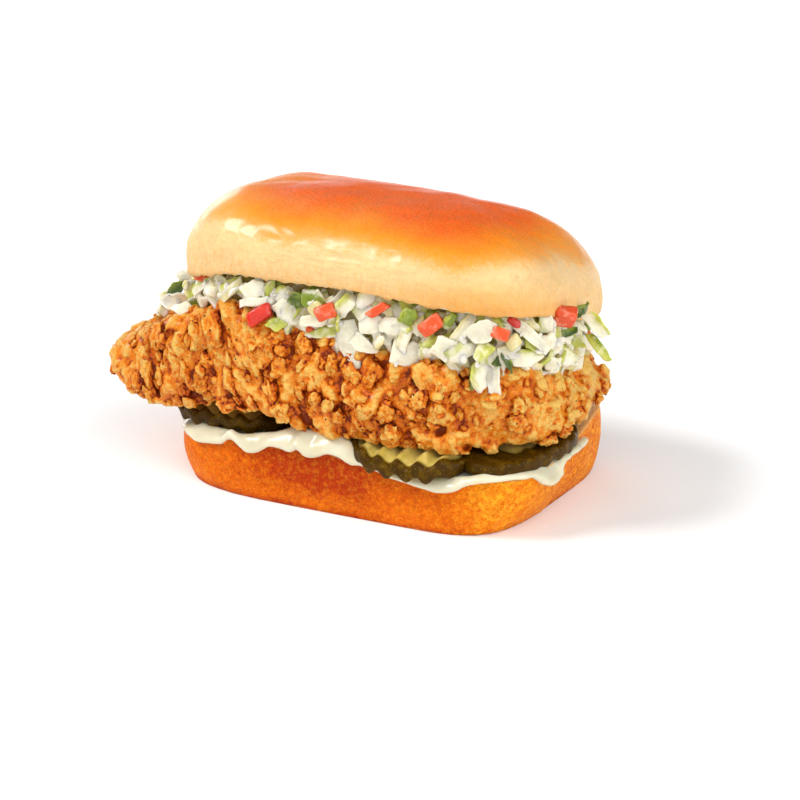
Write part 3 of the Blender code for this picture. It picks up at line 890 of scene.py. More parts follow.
def makeCrisps(spots, skin):
    # crisp lumps that stand out from the crust, each whole, so that the creases between stay sharp
    rng = random.Random(crust["seed"] + 4)
    ball, smallBall = ballShape(4), ballShape(3)
    kept = [spot for spot in spots if spot[0][0] > -76 * mm]
    kept = [spot for spot in kept if spot[0][1] < 6 * mm or rng.random() < 0.55]
    groups, tints = [[], []], [[], []]
    for number, (point, normal) in enumerate(evenSpots(kept, crust["crisps"], rng, 16)):
        plain = smoothStep(24 * mm, 38 * mm, point[0]) * smoothStep(43 * mm, 35 * mm, point[2])
        if rng.random() < 0.6 * plain or (point[0] < -64 * mm and point[2] < 34 * mm):
            continue
        size = rng.uniform(*crust["crispSize"]) * rng.choice((0.5, 0.6, 0.75, 0.9, 1.05, 1.2, 1.4))
        ribbed = ribbedAt(point)
        lump, faces = crispShape(ball if size > 2.0 * mm else smallBall, size, rng, 1.4 + 0.7 * ribbed)
        outward = Vector(normal)
        turn = lumpTurn(outward, ribbed, 0.35 + 0.8 * (1 - ribbed), rng)
        middle = skin.find_nearest(Vector(point))[0] + outward * 0.18 * size
        groups[number % 2].append((lumpPlaced(lump, turn, middle), faces))
        tints[number % 2] += [rng.uniform(-0.13, 0.11)] * len(lump)
    pieces = []
    for number, shapes in enumerate(groups):
        piece = joinShapes(f"breadingCrisps{number + 1}", shapes)
        mesh = piece.data
        points, normals = pointsOf(mesh), normalsOf(mesh)
        knobs = knobsAt(points, crust["crispKnob"]) * crust["crispKnobHeight"]
        movePoints(mesh, points + normals * knobs[:, None])
        paintNumbers(mesh, "tint", tints[number])
        mesh.materials.append(breadingMaterial(f"crispBreading{number + 1}"))
        print(piece.name, len(mesh.polygons), "faces")
        pieces.append(piece)
    return pieces


def flakeShapes():
    # a few bent scraps of crisp batter, kept aside for scattering
    aside = bpy.data.collections.new("flakeShapes")
    rng = random.Random(crust["seed"] + 1)
    ball = ballShape(2)
    for number in range(5):
        points, faces = nuggetShape(ball, 1.0 * mm, rng)
        points[:, 2] *= 0.5
        bend = rng.uniform(-260, 260)
        points[:, 2] += bend * (points[:, 0] ** 2)
        flake = addMesh(f"flakeShape{number}", points, faces)
        bpy.context.collection.objects.unlink(flake)
        aside.objects.link(flake)
    return aside


def scatterTree(name, material):
    # named inputs: what to scatter, how thickly, the least and greatest size, and how far it leans
    tree = bpy.data.node_groups.new(name, "GeometryNodeTree")
    for label, kind in (("Geometry", "Geometry"), ("Shapes", "Collection"), ("Density", "Float"),
                        ("Least", "Float"), ("Greatest", "Float"), ("Tilt", "Float"), ("Seed", "Int")):
        tree.interface.new_socket(label, in_out="INPUT", socket_type="NodeSocket" + kind)
    tree.interface.new_socket("Geometry", in_out="OUTPUT", socket_type="NodeSocketGeometry")

    def node(kind, values, **settings):
        return addNode(tree, kind, values, **settings).outputs

    given = node("NodeGroupInput", {})
    bare = node("GeometryNodeInputNamedAttribute", {"Name": "open"}, data_type="FLOAT")["Attribute"]
    thick = node("ShaderNodeMath", {0: bare, 1: given["Density"]}, operation="MULTIPLY")[0]
    spread = node("GeometryNodeDistributePointsOnFaces", {
        "Mesh": given["Geometry"], "Density": thick, "Seed": given["Seed"],
    })
    back = node("ShaderNodeMath", {0: given["Tilt"], 1: -1}, operation="MULTIPLY")[0]
    least = node("ShaderNodeCombineXYZ", {0: back, 1: back, 2: -math.pi})[0]
    most = node("ShaderNodeCombineXYZ", {0: given["Tilt"], 1: given["Tilt"], 2: math.pi})[0]
    lean = node("FunctionNodeRandomValue", {0: least, 1: most}, data_type="FLOAT_VECTOR")[0]
    size = node("FunctionNodeRandomValue", {2: given["Least"], 3: given["Greatest"]}, data_type="FLOAT")[1]
    shapes = node("GeometryNodeCollectionInfo", {
        "Collection": given["Shapes"], "Separate Children": True, "Reset Children": True,
    })["Instances"]
    stood = node("GeometryNodeInstanceOnPoints", {
        "Points": spread["Points"], "Instance": shapes, "Pick Instance": True,
        "Rotation": spread["Rotation"], "Scale": size,
    })["Instances"]
    turned = node("GeometryNodeRotateInstances", {"Instances": stood, "Rotation": lean})["Instances"]
    real = node("GeometryNodeRealizeInstances", {"Geometry": turned})["Geometry"]
    coated = node("GeometryNodeSetMaterial", {"Geometry": real, "Material": material})["Geometry"]
    node("NodeGroupOutput", {"Geometry": coated})
    return tree


def socketIdentifier(tree, name):
    return next(item.identifier for item in tree.interface.items_tree if item.name == name)


def makeFlakes(carrier):
    tree = scatterTree("flakeScatter", breadingMaterial("looseBreading", loose=True))
    piece = addObject("breadingFlakes", carrier.data.copy())
    modifier = piece.modifiers.new("flakes", "NODES")
    modifier.node_group = tree
    for key, value in {"Shapes": flakeShapes(), **crust["flakes"]}.items():
        modifier[socketIdentifier(tree, key)] = value
    bakeModifiers(piece)
    piece.data.shade_smooth()
    print(piece.name, len(piece.data.polygons), "faces")
    return piece


# mayonnaise, squeezed out in one thick wavy line

mayo = {
    "voxel": 0.68 * mm,
    "seed": 8,
    "steps": 330,
    "colours": ((0.3, (0.680, 0.650, 0.490)), (0.7, (0.630, 0.585, 0.400))),
    "shader": {
        "Roughness": 0.24, "Specular IOR Level": 0.4, "Coat Weight": 0.15, "Coat Roughness": 0.10,
        "Subsurface Weight": 0.35, "Subsurface Radius": (0.004, 0.003, 0.002), "Subsurface Scale": 1.0,
    },
    # the lower and upper edge of what shows of it along the front, as (across, height) in mm
    "low": (
        (-54, 12.6), (-48, 12.9), (-40, 13.8), (-36, 14.6), (-32, 18.4), (-30, 16.4), (-27, 13.9),
        (-24.5, 14.4), (-20.5, 17.4), (-17, 17.2), (-13.5, 16.6), (-11.4, 19.2), (-8.6, 15.9),
        (-6.2, 16.4), (-2.7, 18.4), (1.8, 17.6), (4.4, 16.0), (7.1, 16.6), (12, 15.8), (16, 14.6),
        (19.8, 14.0), (24.4, 13.2), (30, 12.4), (33.7, 13.4), (36.5, 15.4), (41, 16.8), (47, 17.3), (55, 17.2),
    ),
    "high": (
        (-54, 17.6), (-44, 17.9), (-35.5, 18.4), (-28.7, 18.8), (-19.7, 21.0), (-14.4, 23.2), (-8.7, 23.0),
        (-1.2, 23.2), (3, 21.6), (6, 19.0), (10, 17.8), (20, 16.6), (30, 16.0), (38, 18.0), (44, 19.6),
        (55, 19.8),
    ),
    # the same up the right end, as (depth, height)
    "endLow": (
        (-34, 18.0), (-26, 17.2), (-22, 13.6), (-19, 12.2), (-16, 11.9), (-13.3, 12.8), (-12, 16.0),
        (0, 15.6), (8, 15.4),
    ),
    "endHigh": ((-34, 19.0), (-22, 18.6), (-12, 17.6), (0, 16.8), (8, 16.2)),
    # folds over the mound that rises between the slices, and the body of it behind: place and half sizes
    "mounds": (
        (-17, -34.5, 19.6, 2.6, 2.0, 1.6), (-12, -34.2, 21.0, 3.2, 2.2, 1.8), (-5, -34.6, 20.6, 3.0, 2.4, 2.0),
        (0.5, -35.4, 19.4, 2.6, 2.2, 2.2), (-8, -36.2, 18.6, 2.8, 1.9, 1.6), (-24, -35.6, 17.6, 3.4, 1.8, 1.5),
        (-10, -30, 19.5, 8, 5, 3.4), (-3, -30, 19.5, 6, 5, 3.6), (-2, 0, 18, 5, 16, 4),
    ),
}


def mayoMaterial():
    paint = Paint("mayonnaise")
    soft, fine = paint.noise(6 * mm, 2, 0.5), paint.noise(1.6 * mm, 2, 0.5)
    colour = paint.ramp(soft, mayo["colours"])
    return paint.finish(colour, ((soft, 0.4 * mm), (fine, 0.04 * mm)), mayo["shader"])


def onOutline(u, grow):
    # a point round the roll's outline: u in turns, 0 at the right end and 0.75 in front
    angle = 2 * math.pi * u
    c, s = math.cos(angle), math.sin(angle)
    n = roll["squareness"]
    span = (abs(c) ** n + abs(s) ** n) ** (1 / n)
    return Vector((c / span * (roll["length"] / 2 + grow), s / span * (roll["width"] / 2 + grow), 0))


def makeMayo():
    rng = random.Random(mayo["seed"])
    ball = ballShape(2)
    shapes = []

    def blob(place, a, b, c, turn=0.0):
        points = ball[0] * np.array([a, b, c]) * mm
        cosine, sine = math.cos(turn), math.sin(turn)
        across = points[:, 0] * cosine - points[:, 1] * sine
        back = points[:, 0] * sine + points[:, 1] * cosine
        shapes.append((np.column_stack([across, back, points[:, 2]]) + np.array(place) * mm, ball[1]))

    # the sheet under everything
    for x in range(-46, 42, 8):
        for y in range(-27, 30, 8):
            blob((x, y, 15.5), 7, 7, 1.25 + rng.uniform(-0.15, 0.2))
    # the edge all round
    for step in range(mayo["steps"]):
        u = step / mayo["steps"]
        rim, after = onOutline(u, 0) / mm, onOutline(u + 0.002, 0) / mm
        turn = math.atan2(after.y - rim.y, after.x - rim.x)
        front = smoothStep(-20, -31, rim.y)
        rightEnd = smoothStep(50, 53.5, rim.x) * smoothStep(10, 4, rim.y)
        wave = noiseOf(u * 40, 0.3, 2)
        low = blendTo(14.8 + 0.4 * wave, alongTable(mayo["low"], rim.x), front)
        high = blendTo(16.4, alongTable(mayo["high"], rim.x), front)
        if rightEnd > 0:
            low = blendTo(low, alongTable(mayo["endLow"], rim.y), rightEnd)
            high = blendTo(high, alongTable(mayo["endHigh"], rim.y), rightEnd)
        elif rim.x > 40 and rim.y > 0:
            continue
        left = smoothStep(-48, -53, rim.x) * smoothStep(22, -6, rim.y)
        low = blendTo(low, 13.8 + 0.8 * wave, left * (1 - front))
        high = blendTo(high, 17.8, left * (1 - front))
        shown = max(front, rightEnd, left)
        layers = max(2, round((high - low - 1.6) / 1.1) + 1)
        for layer in range(layers):
            share = layer / (layers - 1)
            out = blendTo(-2.2, 0.35 + 0.35 * wave, shown) - 3.4 * share**1.5 * (high - low) / 6
            fold = noiseOf(u * 62 - share * 0.9, share * 1.3, 5)
            place = onOutline(u, (out + 0.9 * fold * shown) * mm) / mm
            place.z = low + 0.9 + (high - low - 1.8) * share
            blob(place, 1.3, 1.15 + 0.5 * shown, 1.05, turn)
    for x, y, z, a, b, c in mayo["mounds"]:
        blob((x, y, z), a, b, c, rng.uniform(-0.5, 0.5))
    piece = remeshed(joinShapes("mayonnaiseSpread", shapes), mayo["voxel"])
    mesh = piece.data
    movePoints(mesh, blurAlong(mesh, pointsOf(mesh), 5))
    mesh.materials.append(mayoMaterial())
    print("mayonnaise:", len(mesh.polygons), "faces")
    return piece


# crinkle-cut pickle slices, where the CAD has them

pickles = {
    "underside": 16.65 * mm,
    "thickness": 4.1 * mm,
    "pitch": 5.6 * mm,
    "wave": 0.92 * mm,
    "squareness": 2.7,
    "grid": (18, 150, 8),  # rings, steps round, and rows up the rim
    # middle and half sizes in mm, turn in degrees, share of the full wave, and where the rind begins
    "slices": {
        "pickle_front_left": ((-38.6, -17.8), (18.4, 14.9), -3, 1.0, (0.80, 0.97)),
        "pickle_front_middle": ((18.6, -24), (17.4, 17.0), -4, 1.0, (0.80, 0.97)),
        "pickle_front_right": ((44, -14.5), (19.5, 10.6), 76, 0.45, (0.25, 0.60)),
        "pickle_back_left": ((-25, 18.5), (17, 15), 24, 1.0, (0.80, 0.97)),
        "pickle_back_right": ((20, 17.5), (16, 15), -18, 1.0, (0.80, 0.97)),
    },
    "skinColours": (
        (0.30, (0.040, 0.018, 0.001)), (0.55, (0.068, 0.031, 0.001)), (0.80, (0.165, 0.092, 0.002)),
    ),
    "fleshColours": ((0.30, (0.430, 0.330, 0.050)), (0.75, (0.700, 0.560, 0.170))),
    "fleckColour": (0.42, 0.36, 0.08),
    "shader": {
        "Roughness": 0.28, "Specular IOR Level": 0.06, "Coat Weight": 0.03, "Coat Roughness": 0.05,
        "Subsurface Weight": 0.25, "Subsurface Radius": (0.003, 0.002, 0.0006), "Subsurface Scale": 1.0,
    },
}


def pickleMaterial():
    paint = Paint("pickle")
    mottle, fine = paint.noise(3.0 * mm, 3, 0.6), paint.noise(0.7 * mm, 2, 0.6)
    fleck = paint.stretched(paint.cells(1.0 * mm), 0.10, 0.24, 0.24, 0.0)
    skin = paint.mix(fleck, paint.ramp(mottle, pickles["skinColours"]), pickles["fleckColour"])
    edge = paint.total(paint.stored("rind"), paint.shifted(mottle, 0.5), clamp=True)
    colour = paint.mix(paint.stretched(edge, 0.45, 0.85), paint.ramp(mottle, pickles["fleshColours"]), skin)
    return paint.finish(colour, ((mottle, 0.25 * mm), (fine, 0.12 * mm)), pickles["shader"])


def makePickle(node, material):
    middle, radii, turn, waviness, (inner, outer) = pickles["slices"][node]
    rings, around, rows = pickles["grid"]
    power = pickles["squareness"]
    points, faces, rind = [], [], []

    def wave(x):
        swing = x / pickles["pitch"] + 0.14 * noiseOf(x / (9 * mm), turn, 0)
        return pickles["wave"] * waviness * math.sin(2 * math.pi * swing)

    def addRow(reach, level, skin):
        # level 0 to 1 from the underside to the top
        for step in range(around):
            angle = 2 * math.pi * step / around
            c, s = math.cos(angle), math.sin(angle)
            wobble = 1 + 0.025 * noiseOf(c * 1.6, s * 1.6, turn)
            span = (abs(c) ** power + abs(s) ** power) ** (1 / power)
            x, y = c / span * radii[0] * reach * wobble, s / span * radii[1] * reach * wobble
            z = pickles["wave"] + wave(x * mm) + pickles["thickness"] * level
            points.append((x * mm, y * mm, z))
            rind.append(skin)

    for ring in range(1, rings):
        addRow(ring / rings * 0.97, 0, smoothStep(inner, outer, ring / rings))
    for row in range(rows + 1):
        level = row / rows
        bulge = 0.97 + 0.03 * math.sin(math.pi * level) ** 0.5
        soft = 0.04 * (1 - math.sin(math.pi * level) ** 0.3)
        addRow(bulge - soft * 0.3, 0.03 + 0.94 * level, 1.0)
    for ring in range(rings - 1, 0, -1):
        addRow(ring / rings * 0.97, 1, smoothStep(inner, outer, ring / rings))
    total = len(points) // around
    for row in range(total - 1):
        for step in range(around):
            one, two = row * around + step, row * around + (step + 1) % around
            faces.append((one, two, two + around, one + around))
    for row, level in ((0, 0), (total - 1, 1)):
        points.append((0, 0, pickles["wave"] + pickles["thickness"] * level))
        rind.append(0.0)
        for step in range(around):
            one, two = row * around + step, row * around + (step + 1) % around
            faces.append((two, one, len(points) - 1) if level == 0 else (one, two, len(points) - 1))
    place = Matrix.Translation((middle[0] * mm, middle[1] * mm, pickles["underside"]))
    place = place @ Matrix.Rotation(math.radians(turn), 4, "Z")
    placed = [place @ Vector(p) for p in points]
    for p in placed:  # a slice that reaches past the roll hangs down a little
        p.z -= 1.6 * mm * smoothStep(-33 * mm, -42 * mm, p.y)
    piece = addMesh("slice_" + node, placed, faces, material)
    shape = bmesh.new()
    shape.from_mesh(piece.data)
    bmesh.ops.recalc_face_normals(shape, faces=shape.faces[:])
    shape.to_mesh(piece.data)
    shape.free()
    paintNumbers(piece.data, "rind", rind)
    points, normals = pointsOf(piece.data), normalsOf(piece.data)
    warts = noiseAt(points, 2.2 * mm, 6.1) * 0.16 * mm
    movePoints(piece.data, points + normals * warts[:, None])
    return piece


# coleslaw: cabbage, carrot and herbs lying over a dressed heap

slawPieces = {
    "seed": 21,
    "thickness": (0.9 * mm, 1.6 * mm),
    "count": 300,
    "drops": 260,
    "smears": 170,
    "voxel": 0.48 * mm,
    "rightEnd": 59.5 * mm,
    "kinds": ("chip",) * 11 + ("strip",) * 10 + ("curl",) * 5 + ("spike",) * 5 + ("dice",) + ("herb",) * 3,
    "bend": {"strip": 0.20, "chip": 0.10, "curl": 0.50, "spike": 0.10},
    # the colours of a leaf's two edges, as often as they come up
    "edges": (("white", "white"),) * 3 + (("white", "cream"),) * 3 + (("white", "pale"),) * 4
    + (("cream", "pale"),) * 2 + (("pale", "green"),),
    "shadedEdges": (
        ("cream", "pale"), ("white", "pale"), ("pale", "white"), ("pale", "green"), ("cream", "white"),
    ),
    # the lower edge of the roll in the photograph, across and down
    "underRoll": ((199, 276), (306, 292), (413, 305), (520, 318), (560, 320)),
    "sauce": (0.830, 0.770, 0.610),
    "white": (0.870, 0.795, 0.590),
    "cream": (0.740, 0.620, 0.280),
    "pale": (0.500, 0.520, 0.080),
    "green": (0.200, 0.270, 0.014),
    "herb": (0.050, 0.095, 0.006),
    "carrot": (0.770, 0.088, 0.014),
    "pepper": (0.660, 0.030, 0.012),
    "smearColour": (0.830, 0.765, 0.600),
    # painted shade that darkens the heap, which shows only between the loose pieces
    "paintedHeapShade": (0.30, 0.23, 0.07, 1),
    "shader": {
        "Specular IOR Level": 0.25, "Coat Weight": 0.40, "Coat Roughness": 0.09,
        "Subsurface Weight": 0.45, "Subsurface Radius": (0.004, 0.0034, 0.0018), "Subsurface Scale": 1.0,
    },
}


def leafMaterial(name, gloss=0.24, milky=0.25):
    paint = Paint(name)
    mottle, ribs = paint.noise(2.4 * mm, 3, 0.6), paint.noise(0.6 * mm, 2, 0.6)
    shade = paint.stretched(mottle, 0.25, 0.75, 0.78, 1.08)
    colour = paint.mix(1.0, paint.stored("paint", "Color"), shade, "MULTIPLY")
    dressing = paint.stretched(mottle, 0.54, 0.66, 0.0, milky * 1.6)
    colour = paint.mix(dressing, colour, slawPieces["smearColour"])
    bumps = ((mottle, 0.26 * mm), (ribs, 0.09 * mm))
    return paint.finish(colour, bumps, {**slawPieces["shader"], "Roughness": gloss})


def cutOutline(kind, rng):
    # corners of a cut scrap in a box from -1 to 1, counter-clockwise
    if kind == "strip":
        slant = rng.uniform(-0.25, 0.25)
        return [(-1, -0.8), (0.2, -1), (1 - abs(slant), -0.7), (1, 0.7), (-0.3, 1), (-1 + abs(slant), 0.8)]
    if kind == "spike":
        return [(-1, -0.75), (-0.2, -1), (1, -0.22), (1, 0.16), (0.1, 0.8), (-0.9, 1)]
    number = rng.choice((4, 5, 5, 6))
    turn = rng.uniform(0, 2 * math.pi)
    corners = []
    for corner in range(number):
        angle = turn + 2 * math.pi * (corner + rng.uniform(-0.28, 0.28)) / number
        corners.append((math.cos(angle), math.sin(angle)))
    wide, tall = max(abs(c[0]) for c in corners), max(abs(c[1]) for c in corners)
    return [(x / wide, y / tall) for x, y in corners]


def rowSpan(corners, t):
    # the lowest and highest point of the outline on one row
    crossings = []
    for (x0, y0), (x1, y1) in zip(corners, corners[1:] + corners[:1]):
        if min(x0, x1) - 1e-9 <= t <= max(x0, x1) + 1e-9 and abs(x1 - x0) > 1e-9:
            crossings.append(y0 + (y1 - y0) * (t - x0) / (x1 - x0))
        elif abs(x0 - t) < 1e-9:
            crossings += [y0, y1]
    return (min(crossings), max(crossings)) if crossings else (0, 0)


def sliver(kind, length, width, thickness, rng, paintOne, paintTwo):
    # a thin leaf: a bent, cupped sheet with a cut outline, given its thickness. The paint runs
    # from one colour along one edge to the other across the leaf.
    along, across = 16, 8
    corners = cutOutline(kind, rng)
    left, right = min(c[0] for c in corners), max(c[0] for c in corners)
    bend = slawPieces["bend"][kind] * rng.uniform(0.3, 1.3) * length
    cup = rng.uniform(-0.20, 0.30) * width
    twist = rng.uniform(-0.45, 0.45)
    shift = rng.uniform(0, 90)
    points, faces, paint = [], [], []
    rows = along + 1
    for layer in (1, -1):
        for i in range(rows):
            t = blendTo(left, right, 0.012 + 0.976 * (0.5 - 0.5 * math.cos(math.pi * i / along)))
            low, high = rowSpan(corners, t)
            wave = 0.10 * noiseOf(t * 3.1, shift, 0)
            low += 0.18 * noiseOf(t * 4.5, shift, 4) + 0.17 * noiseOf(t * 11, shift, 4)
            high += 0.18 * noiseOf(t * 4.5, shift, 8) + 0.17 * noiseOf(t * 11, shift, 8)
            for j in range(across + 1):
                part = 0.5 - 0.5 * math.cos(math.pi * j / across)
                s = blendTo(low, high, part) + wave
                x, y = t * length / 2, s * width / 2
                rim = 0.55 if j in (0, across) or i in (0, along) else 1.0
                z = -bend * t * t + cup * s * s + 0.08 * width * noiseOf(t * 1.8, s * 1.6, shift)
                z += 0.10 * mm * math.sin(5.2 * s + shift) * (1 - t * t)
                z += layer * thickness / 2 * rim
                angle = twist * t
                cosine, sine = math.cos(angle), math.sin(angle)
                points.append((x, y * cosine - z * sine, y * sine + z * cosine))
                vein = 0.7 * noiseOf(t * 1.3, s * 4.6, shift + 9)
                share = smoothStep(0.0, 0.9, s + vein + 0.5 * noiseOf(t * 1.7, shift, 3))
                paint.append(tuple(blendTo(a, b, share) for a, b in zip(paintOne, paintTwo)))
    size = rows * (across + 1)

    def at(layer, i, j):
        return layer * size + i * (across + 1) + j

    for i in range(along):
        for j in range(across):
            faces.append((at(0, i, j), at(0, i + 1, j), at(0, i + 1, j + 1), at(0, i, j + 1)))
            faces.append((at(1, i, j), at(1, i, j + 1), at(1, i + 1, j + 1), at(1, i + 1, j)))
    for i in range(along):
        faces.append((at(0, i, 0), at(1, i, 0), at(1, i + 1, 0), at(0, i + 1, 0)))
        faces.append((at(0, i + 1, across), at(1, i + 1, across), at(1, i, across), at(0, i, across)))
    for j in range(across):
        faces.append((at(0, 0, j + 1), at(1, 0, j + 1), at(1, 0, j), at(0, 0, j)))
        faces.append((at(0, along, j), at(1, along, j), at(1, along, j + 1), at(0, along, j + 1)))
    return np.array(points), faces, paint


def diceShape(length, width, height, rng, colour):
    # a cut cube with rounded, slightly ragged faces
    cube = bmesh.new()
    bmesh.ops.create_cube(cube, size=2)
    bmesh.ops.subdivide_edges(cube, edges=cube.edges[:], cuts=4, use_grid_fill=True)
    shift = jitter(rng, 50)
    skew = rng.uniform(-0.22, 0.22)
    points = []
    for vertex in cube.verts:
        p = vertex.co
        p = p / sum(abs(c) ** 7 for c in p) ** (1 / 7)
        p = p * (1 + 0.13 * noise.noise(p * 1.3 + shift) + 0.05 * noise.noise(p * 4 - shift))
        points.append((p.x + skew * p.y, p.y, p.z))
    faces = [[v.index for v in face.verts] for face in cube.faces]
    cube.free()
    return np.array(points) * np.array([length, width, height]) * 0.46, faces, [colour] * len(points)


class Heap:
    # gathers loose shapes into one mesh for each kind of food
    def __init__(self):
        self.kinds = {}

    def add(self, kind, shape, place):
        points, faces, paint = shape
        held = self.kinds.setdefault(kind, ([], [], []))
        start = sum(len(p) for p in held[0])
        placed = points @ np.array(place.to_3x3()).T + np.array(place.translation)
        held[0].append(placed)
        held[1].extend([tuple(i + start for i in face) for face in faces])
        held[2].extend(paint)

    def build(self, kind, name, material):
        points, faces, paint = self.kinds[kind]
        piece = addMesh(name, np.concatenate(points), faces, material)
        paintColours(piece.data, [(*colour, 1.0) for colour in paint])
        print(name, len(piece.data.polygons), "faces")
        return piece


def dressed(piece, voxel, times):
    # dressing rounds the edges and bridges the gaps: one soft skin, coloured as what lies under it
    old = piece.data
    tints = np.empty(len(old.vertices) * 4, dtype=np.float32)
    old.color_attributes["paint"].data.foreach_get("color", tints)
    lookup = KDTree(len(old.vertices))
    for number, vertex in enumerate(old.vertices):
        lookup.insert(vertex.co, number)
    lookup.balance()
    remeshed(piece, voxel)
    mesh = piece.data
    points = pointsOf(mesh)
    paint = tints.reshape(-1, 4)[[lookup.find(p)[1] for p in points]]
    movePoints(mesh, blurAlong(mesh, points, times))
    paintColours(mesh, paint)
    print(piece.name, "dressed:", len(mesh.polygons), "faces")
    return piece


# pieces as they lie in the photograph: kind, place across and down, length and width in mm,
# lean in degrees from level, lift in mm, and the colours of the two edges
laidPieces = (
    ("dice", 203, 276, 6.0, 3.2, -14, 1.6, "carrot", "carrot"),
    ("herb", 178, 288, 8.0, 4.0, 22, 2.0, "herb", "green"),
    ("chip", 193, 292, 5.0, 4.5, 60, 1.8, "pale", "cream"),
    ("chip", 177, 302, 9.0, 5.5, 5, 1.6, "white", "white"),
    ("chip", 198, 303, 9.5, 4.5, 20, 1.8, "green", "white"),
    ("spike", 162, 314, 8.0, 3.5, 250, 1.2, "white", "cream"),
    ("chip", 174, 288, 6.0, 4.6, 40, 0.8, "white", "white"),
    ("chip", 170, 299, 7.0, 5.2, -20, 0.6, "white", "pale"),
    ("strip", 168, 305, 7.0, 3.0, 60, 0.8, "white", "cream"),
    ("chip", 183, 309, 8.0, 5.0, 0, 1.2, "white", "white"),
    ("strip", 205, 284, 9.0, 3.0, 30, 1.6, "white", "pale"),
    ("chip", 216, 299, 8.0, 5.0, -15, 1.2, "white", "pale"),
    ("chip", 187, 276, 6.0, 5.0, 10, 0.6, "white", "white"),
    ("curl", 213, 289, 9.0, 4.0, -40, 1.6, "white", "cream"),
    ("strip", 231, 291, 10.0, 3.0, 35, 1.4, "cream", "white"),
    ("chip", 253, 291, 8.0, 6.0, 20, 1.6, "white", "white"),
    ("strip", 261, 302, 12.0, 2.6, 2, 2.4, "white", "white"),
    ("dice", 260, 315, 7.5, 4.2, 30, 2.0, "pepper", "pepper"),
    ("chip", 283, 296, 8.0, 6.0, 10, 1.6, "white", "pale"),
    ("chip", 286, 313, 9.0, 8.0, -25, 2.4, "white", "cream"),
    ("chip", 277, 325, 7.0, 4.5, 10, 2.2, "pale", "green"),
    ("herb", 298, 301, 6.0, 4.5, -20, 2.6, "herb", "green"),
    ("herb", 313, 299, 9.0, 6.0, -12, 2.4, "green", "white"),
    ("dice", 317, 309, 4.5, 4.0, 30, 2.2, "cream", "cream"),
    ("dice", 326, 312, 6.0, 4.5, 20, 2.4, "carrot", "carrot"),
    ("chip", 315, 320, 9.0, 4.5, 8, 2.0, "white", "white"),
    ("curl", 346, 305, 10.0, 5.0, 55, 2.4, "white", "pale"),
    ("strip", 336, 313, 9.0, 2.6, 70, 2.2, "pale", "white"),
    ("spike", 322, 333, 11.0, 3.2, 192, 2.2, "pale", "white"),
    ("spike", 350, 345, 14.0, 9.5, -78, 2.4, "white", "white"),
    ("spike", 365, 345, 8.0, 4.5, -30, 2.0, "white", "white"),
    ("chip", 372, 325, 9.0, 5.5, 8, 2.2, "white", "white"),
    ("dice", 378, 310, 6.5, 2.6, 32, 2.2, "carrot", "carrot"),
    ("chip", 367, 299, 7.0, 5.0, 20, 1.6, "white", "cream"),
    ("chip", 391, 327, 7.5, 5.0, -10, 2.2, "white", "white"),
    ("herb", 407, 317, 6.0, 5.5, 40, 2.8, "green", "pale"),
    ("dice", 431, 325, 7.0, 4.4, 35, 2.6, "carrot", "carrot"),
    ("chip", 407, 354, 8.6, 7.6, -12, 2.8, "white", "white"),
    ("strip", 404, 338, 9.0, 3.4, 65, 2.4, "white", "cream"),
    ("chip", 443, 346, 8.4, 7.4, 35, 3.0, "white", "white"),
    ("chip", 449, 321, 5.0, 3.5, 50, 2.4, "green", "pale"),
    ("strip", 462, 330, 10.5, 3.6, 55, 2.8, "white", "cream"),
    ("chip", 461, 353, 11.0, 5.6, 28, 2.6, "white", "pale"),
    ("chip", 482, 331, 9.0, 6.5, 15, 2.2, "white", "white"),
    ("chip", 484, 351, 8.0, 5.5, 70, 3.0, "pale", "white"),
    ("dice", 500, 334, 5.0, 3.4, -20, 3.0, "carrot", "carrot"),
    ("dice", 513, 342, 4.4, 3.6, 40, 3.0, "cream", "cream"),
    ("chip", 480, 374, 10.0, 6.5, 80, 2.4, "white", "pale"),
    ("strip", 493, 374, 12.0, 3.8, 95, 3.0, "white", "white"),
    ("herb", 473, 379, 7.5, 2.4, 85, 2.2, "green", "herb"),
    ("herb", 507, 362, 8.0, 2.2, -60, 3.0, "herb", "green"),
    ("chip", 525, 358, 11.0, 5.0, 5, 2.8, "white", "pale"),
    ("strip", 528, 334, 14.0, 3.4, -40, 3.0, "white", "white"),
    ("dice", 516, 324, 6.0, 2.4, -36, 1.6, "pepper", "pepper"),
    ("spike", 544, 318, 8.0, 4.6, 95, 2.2, "white", "pale"),
    ("dice", 563, 316, 6.8, 5.6, -12, 3.6, "carrot", "carrot"),
    ("herb", 580, 312, 7.0, 4.0, 35, 2.4, "herb", "green"),
    ("herb", 586, 322, 6.0, 3.0, -50, 2.8, "green", "herb"),
    ("strip", 596, 325, 9.0, 4.0, -50, 2.2, "white", "pale"),
    ("herb", 567, 333, 8.5, 2.6, 15, 3.4, "herb", "green"),
    ("chip", 547, 341, 5.8, 5.0, 10, 3.4, "white", "white"),
    ("chip", 574, 341, 8.0, 4.4, -16, 3.2, "pale", "white"),
    ("chip", 587, 343, 7.0, 4.4, -30, 2.6, "white", "white"),
    ("curl", 565, 356, 10.5, 6.5, -30, 3.0, "white", "pale"),
    ("strip", 598, 347, 10.0, 2.8, -52, 1.8, "pale", "green"),
    ("chip", 551, 361, 6.0, 4.6, 20, 2.6, "white", "white"),
    ("chip", 535, 346, 7.0, 4.0, -30, 2.8, "pale", "white"),
    ("chip", 510, 350, 8.0, 5.0, 20, 2.6, "white", "cream"),
)


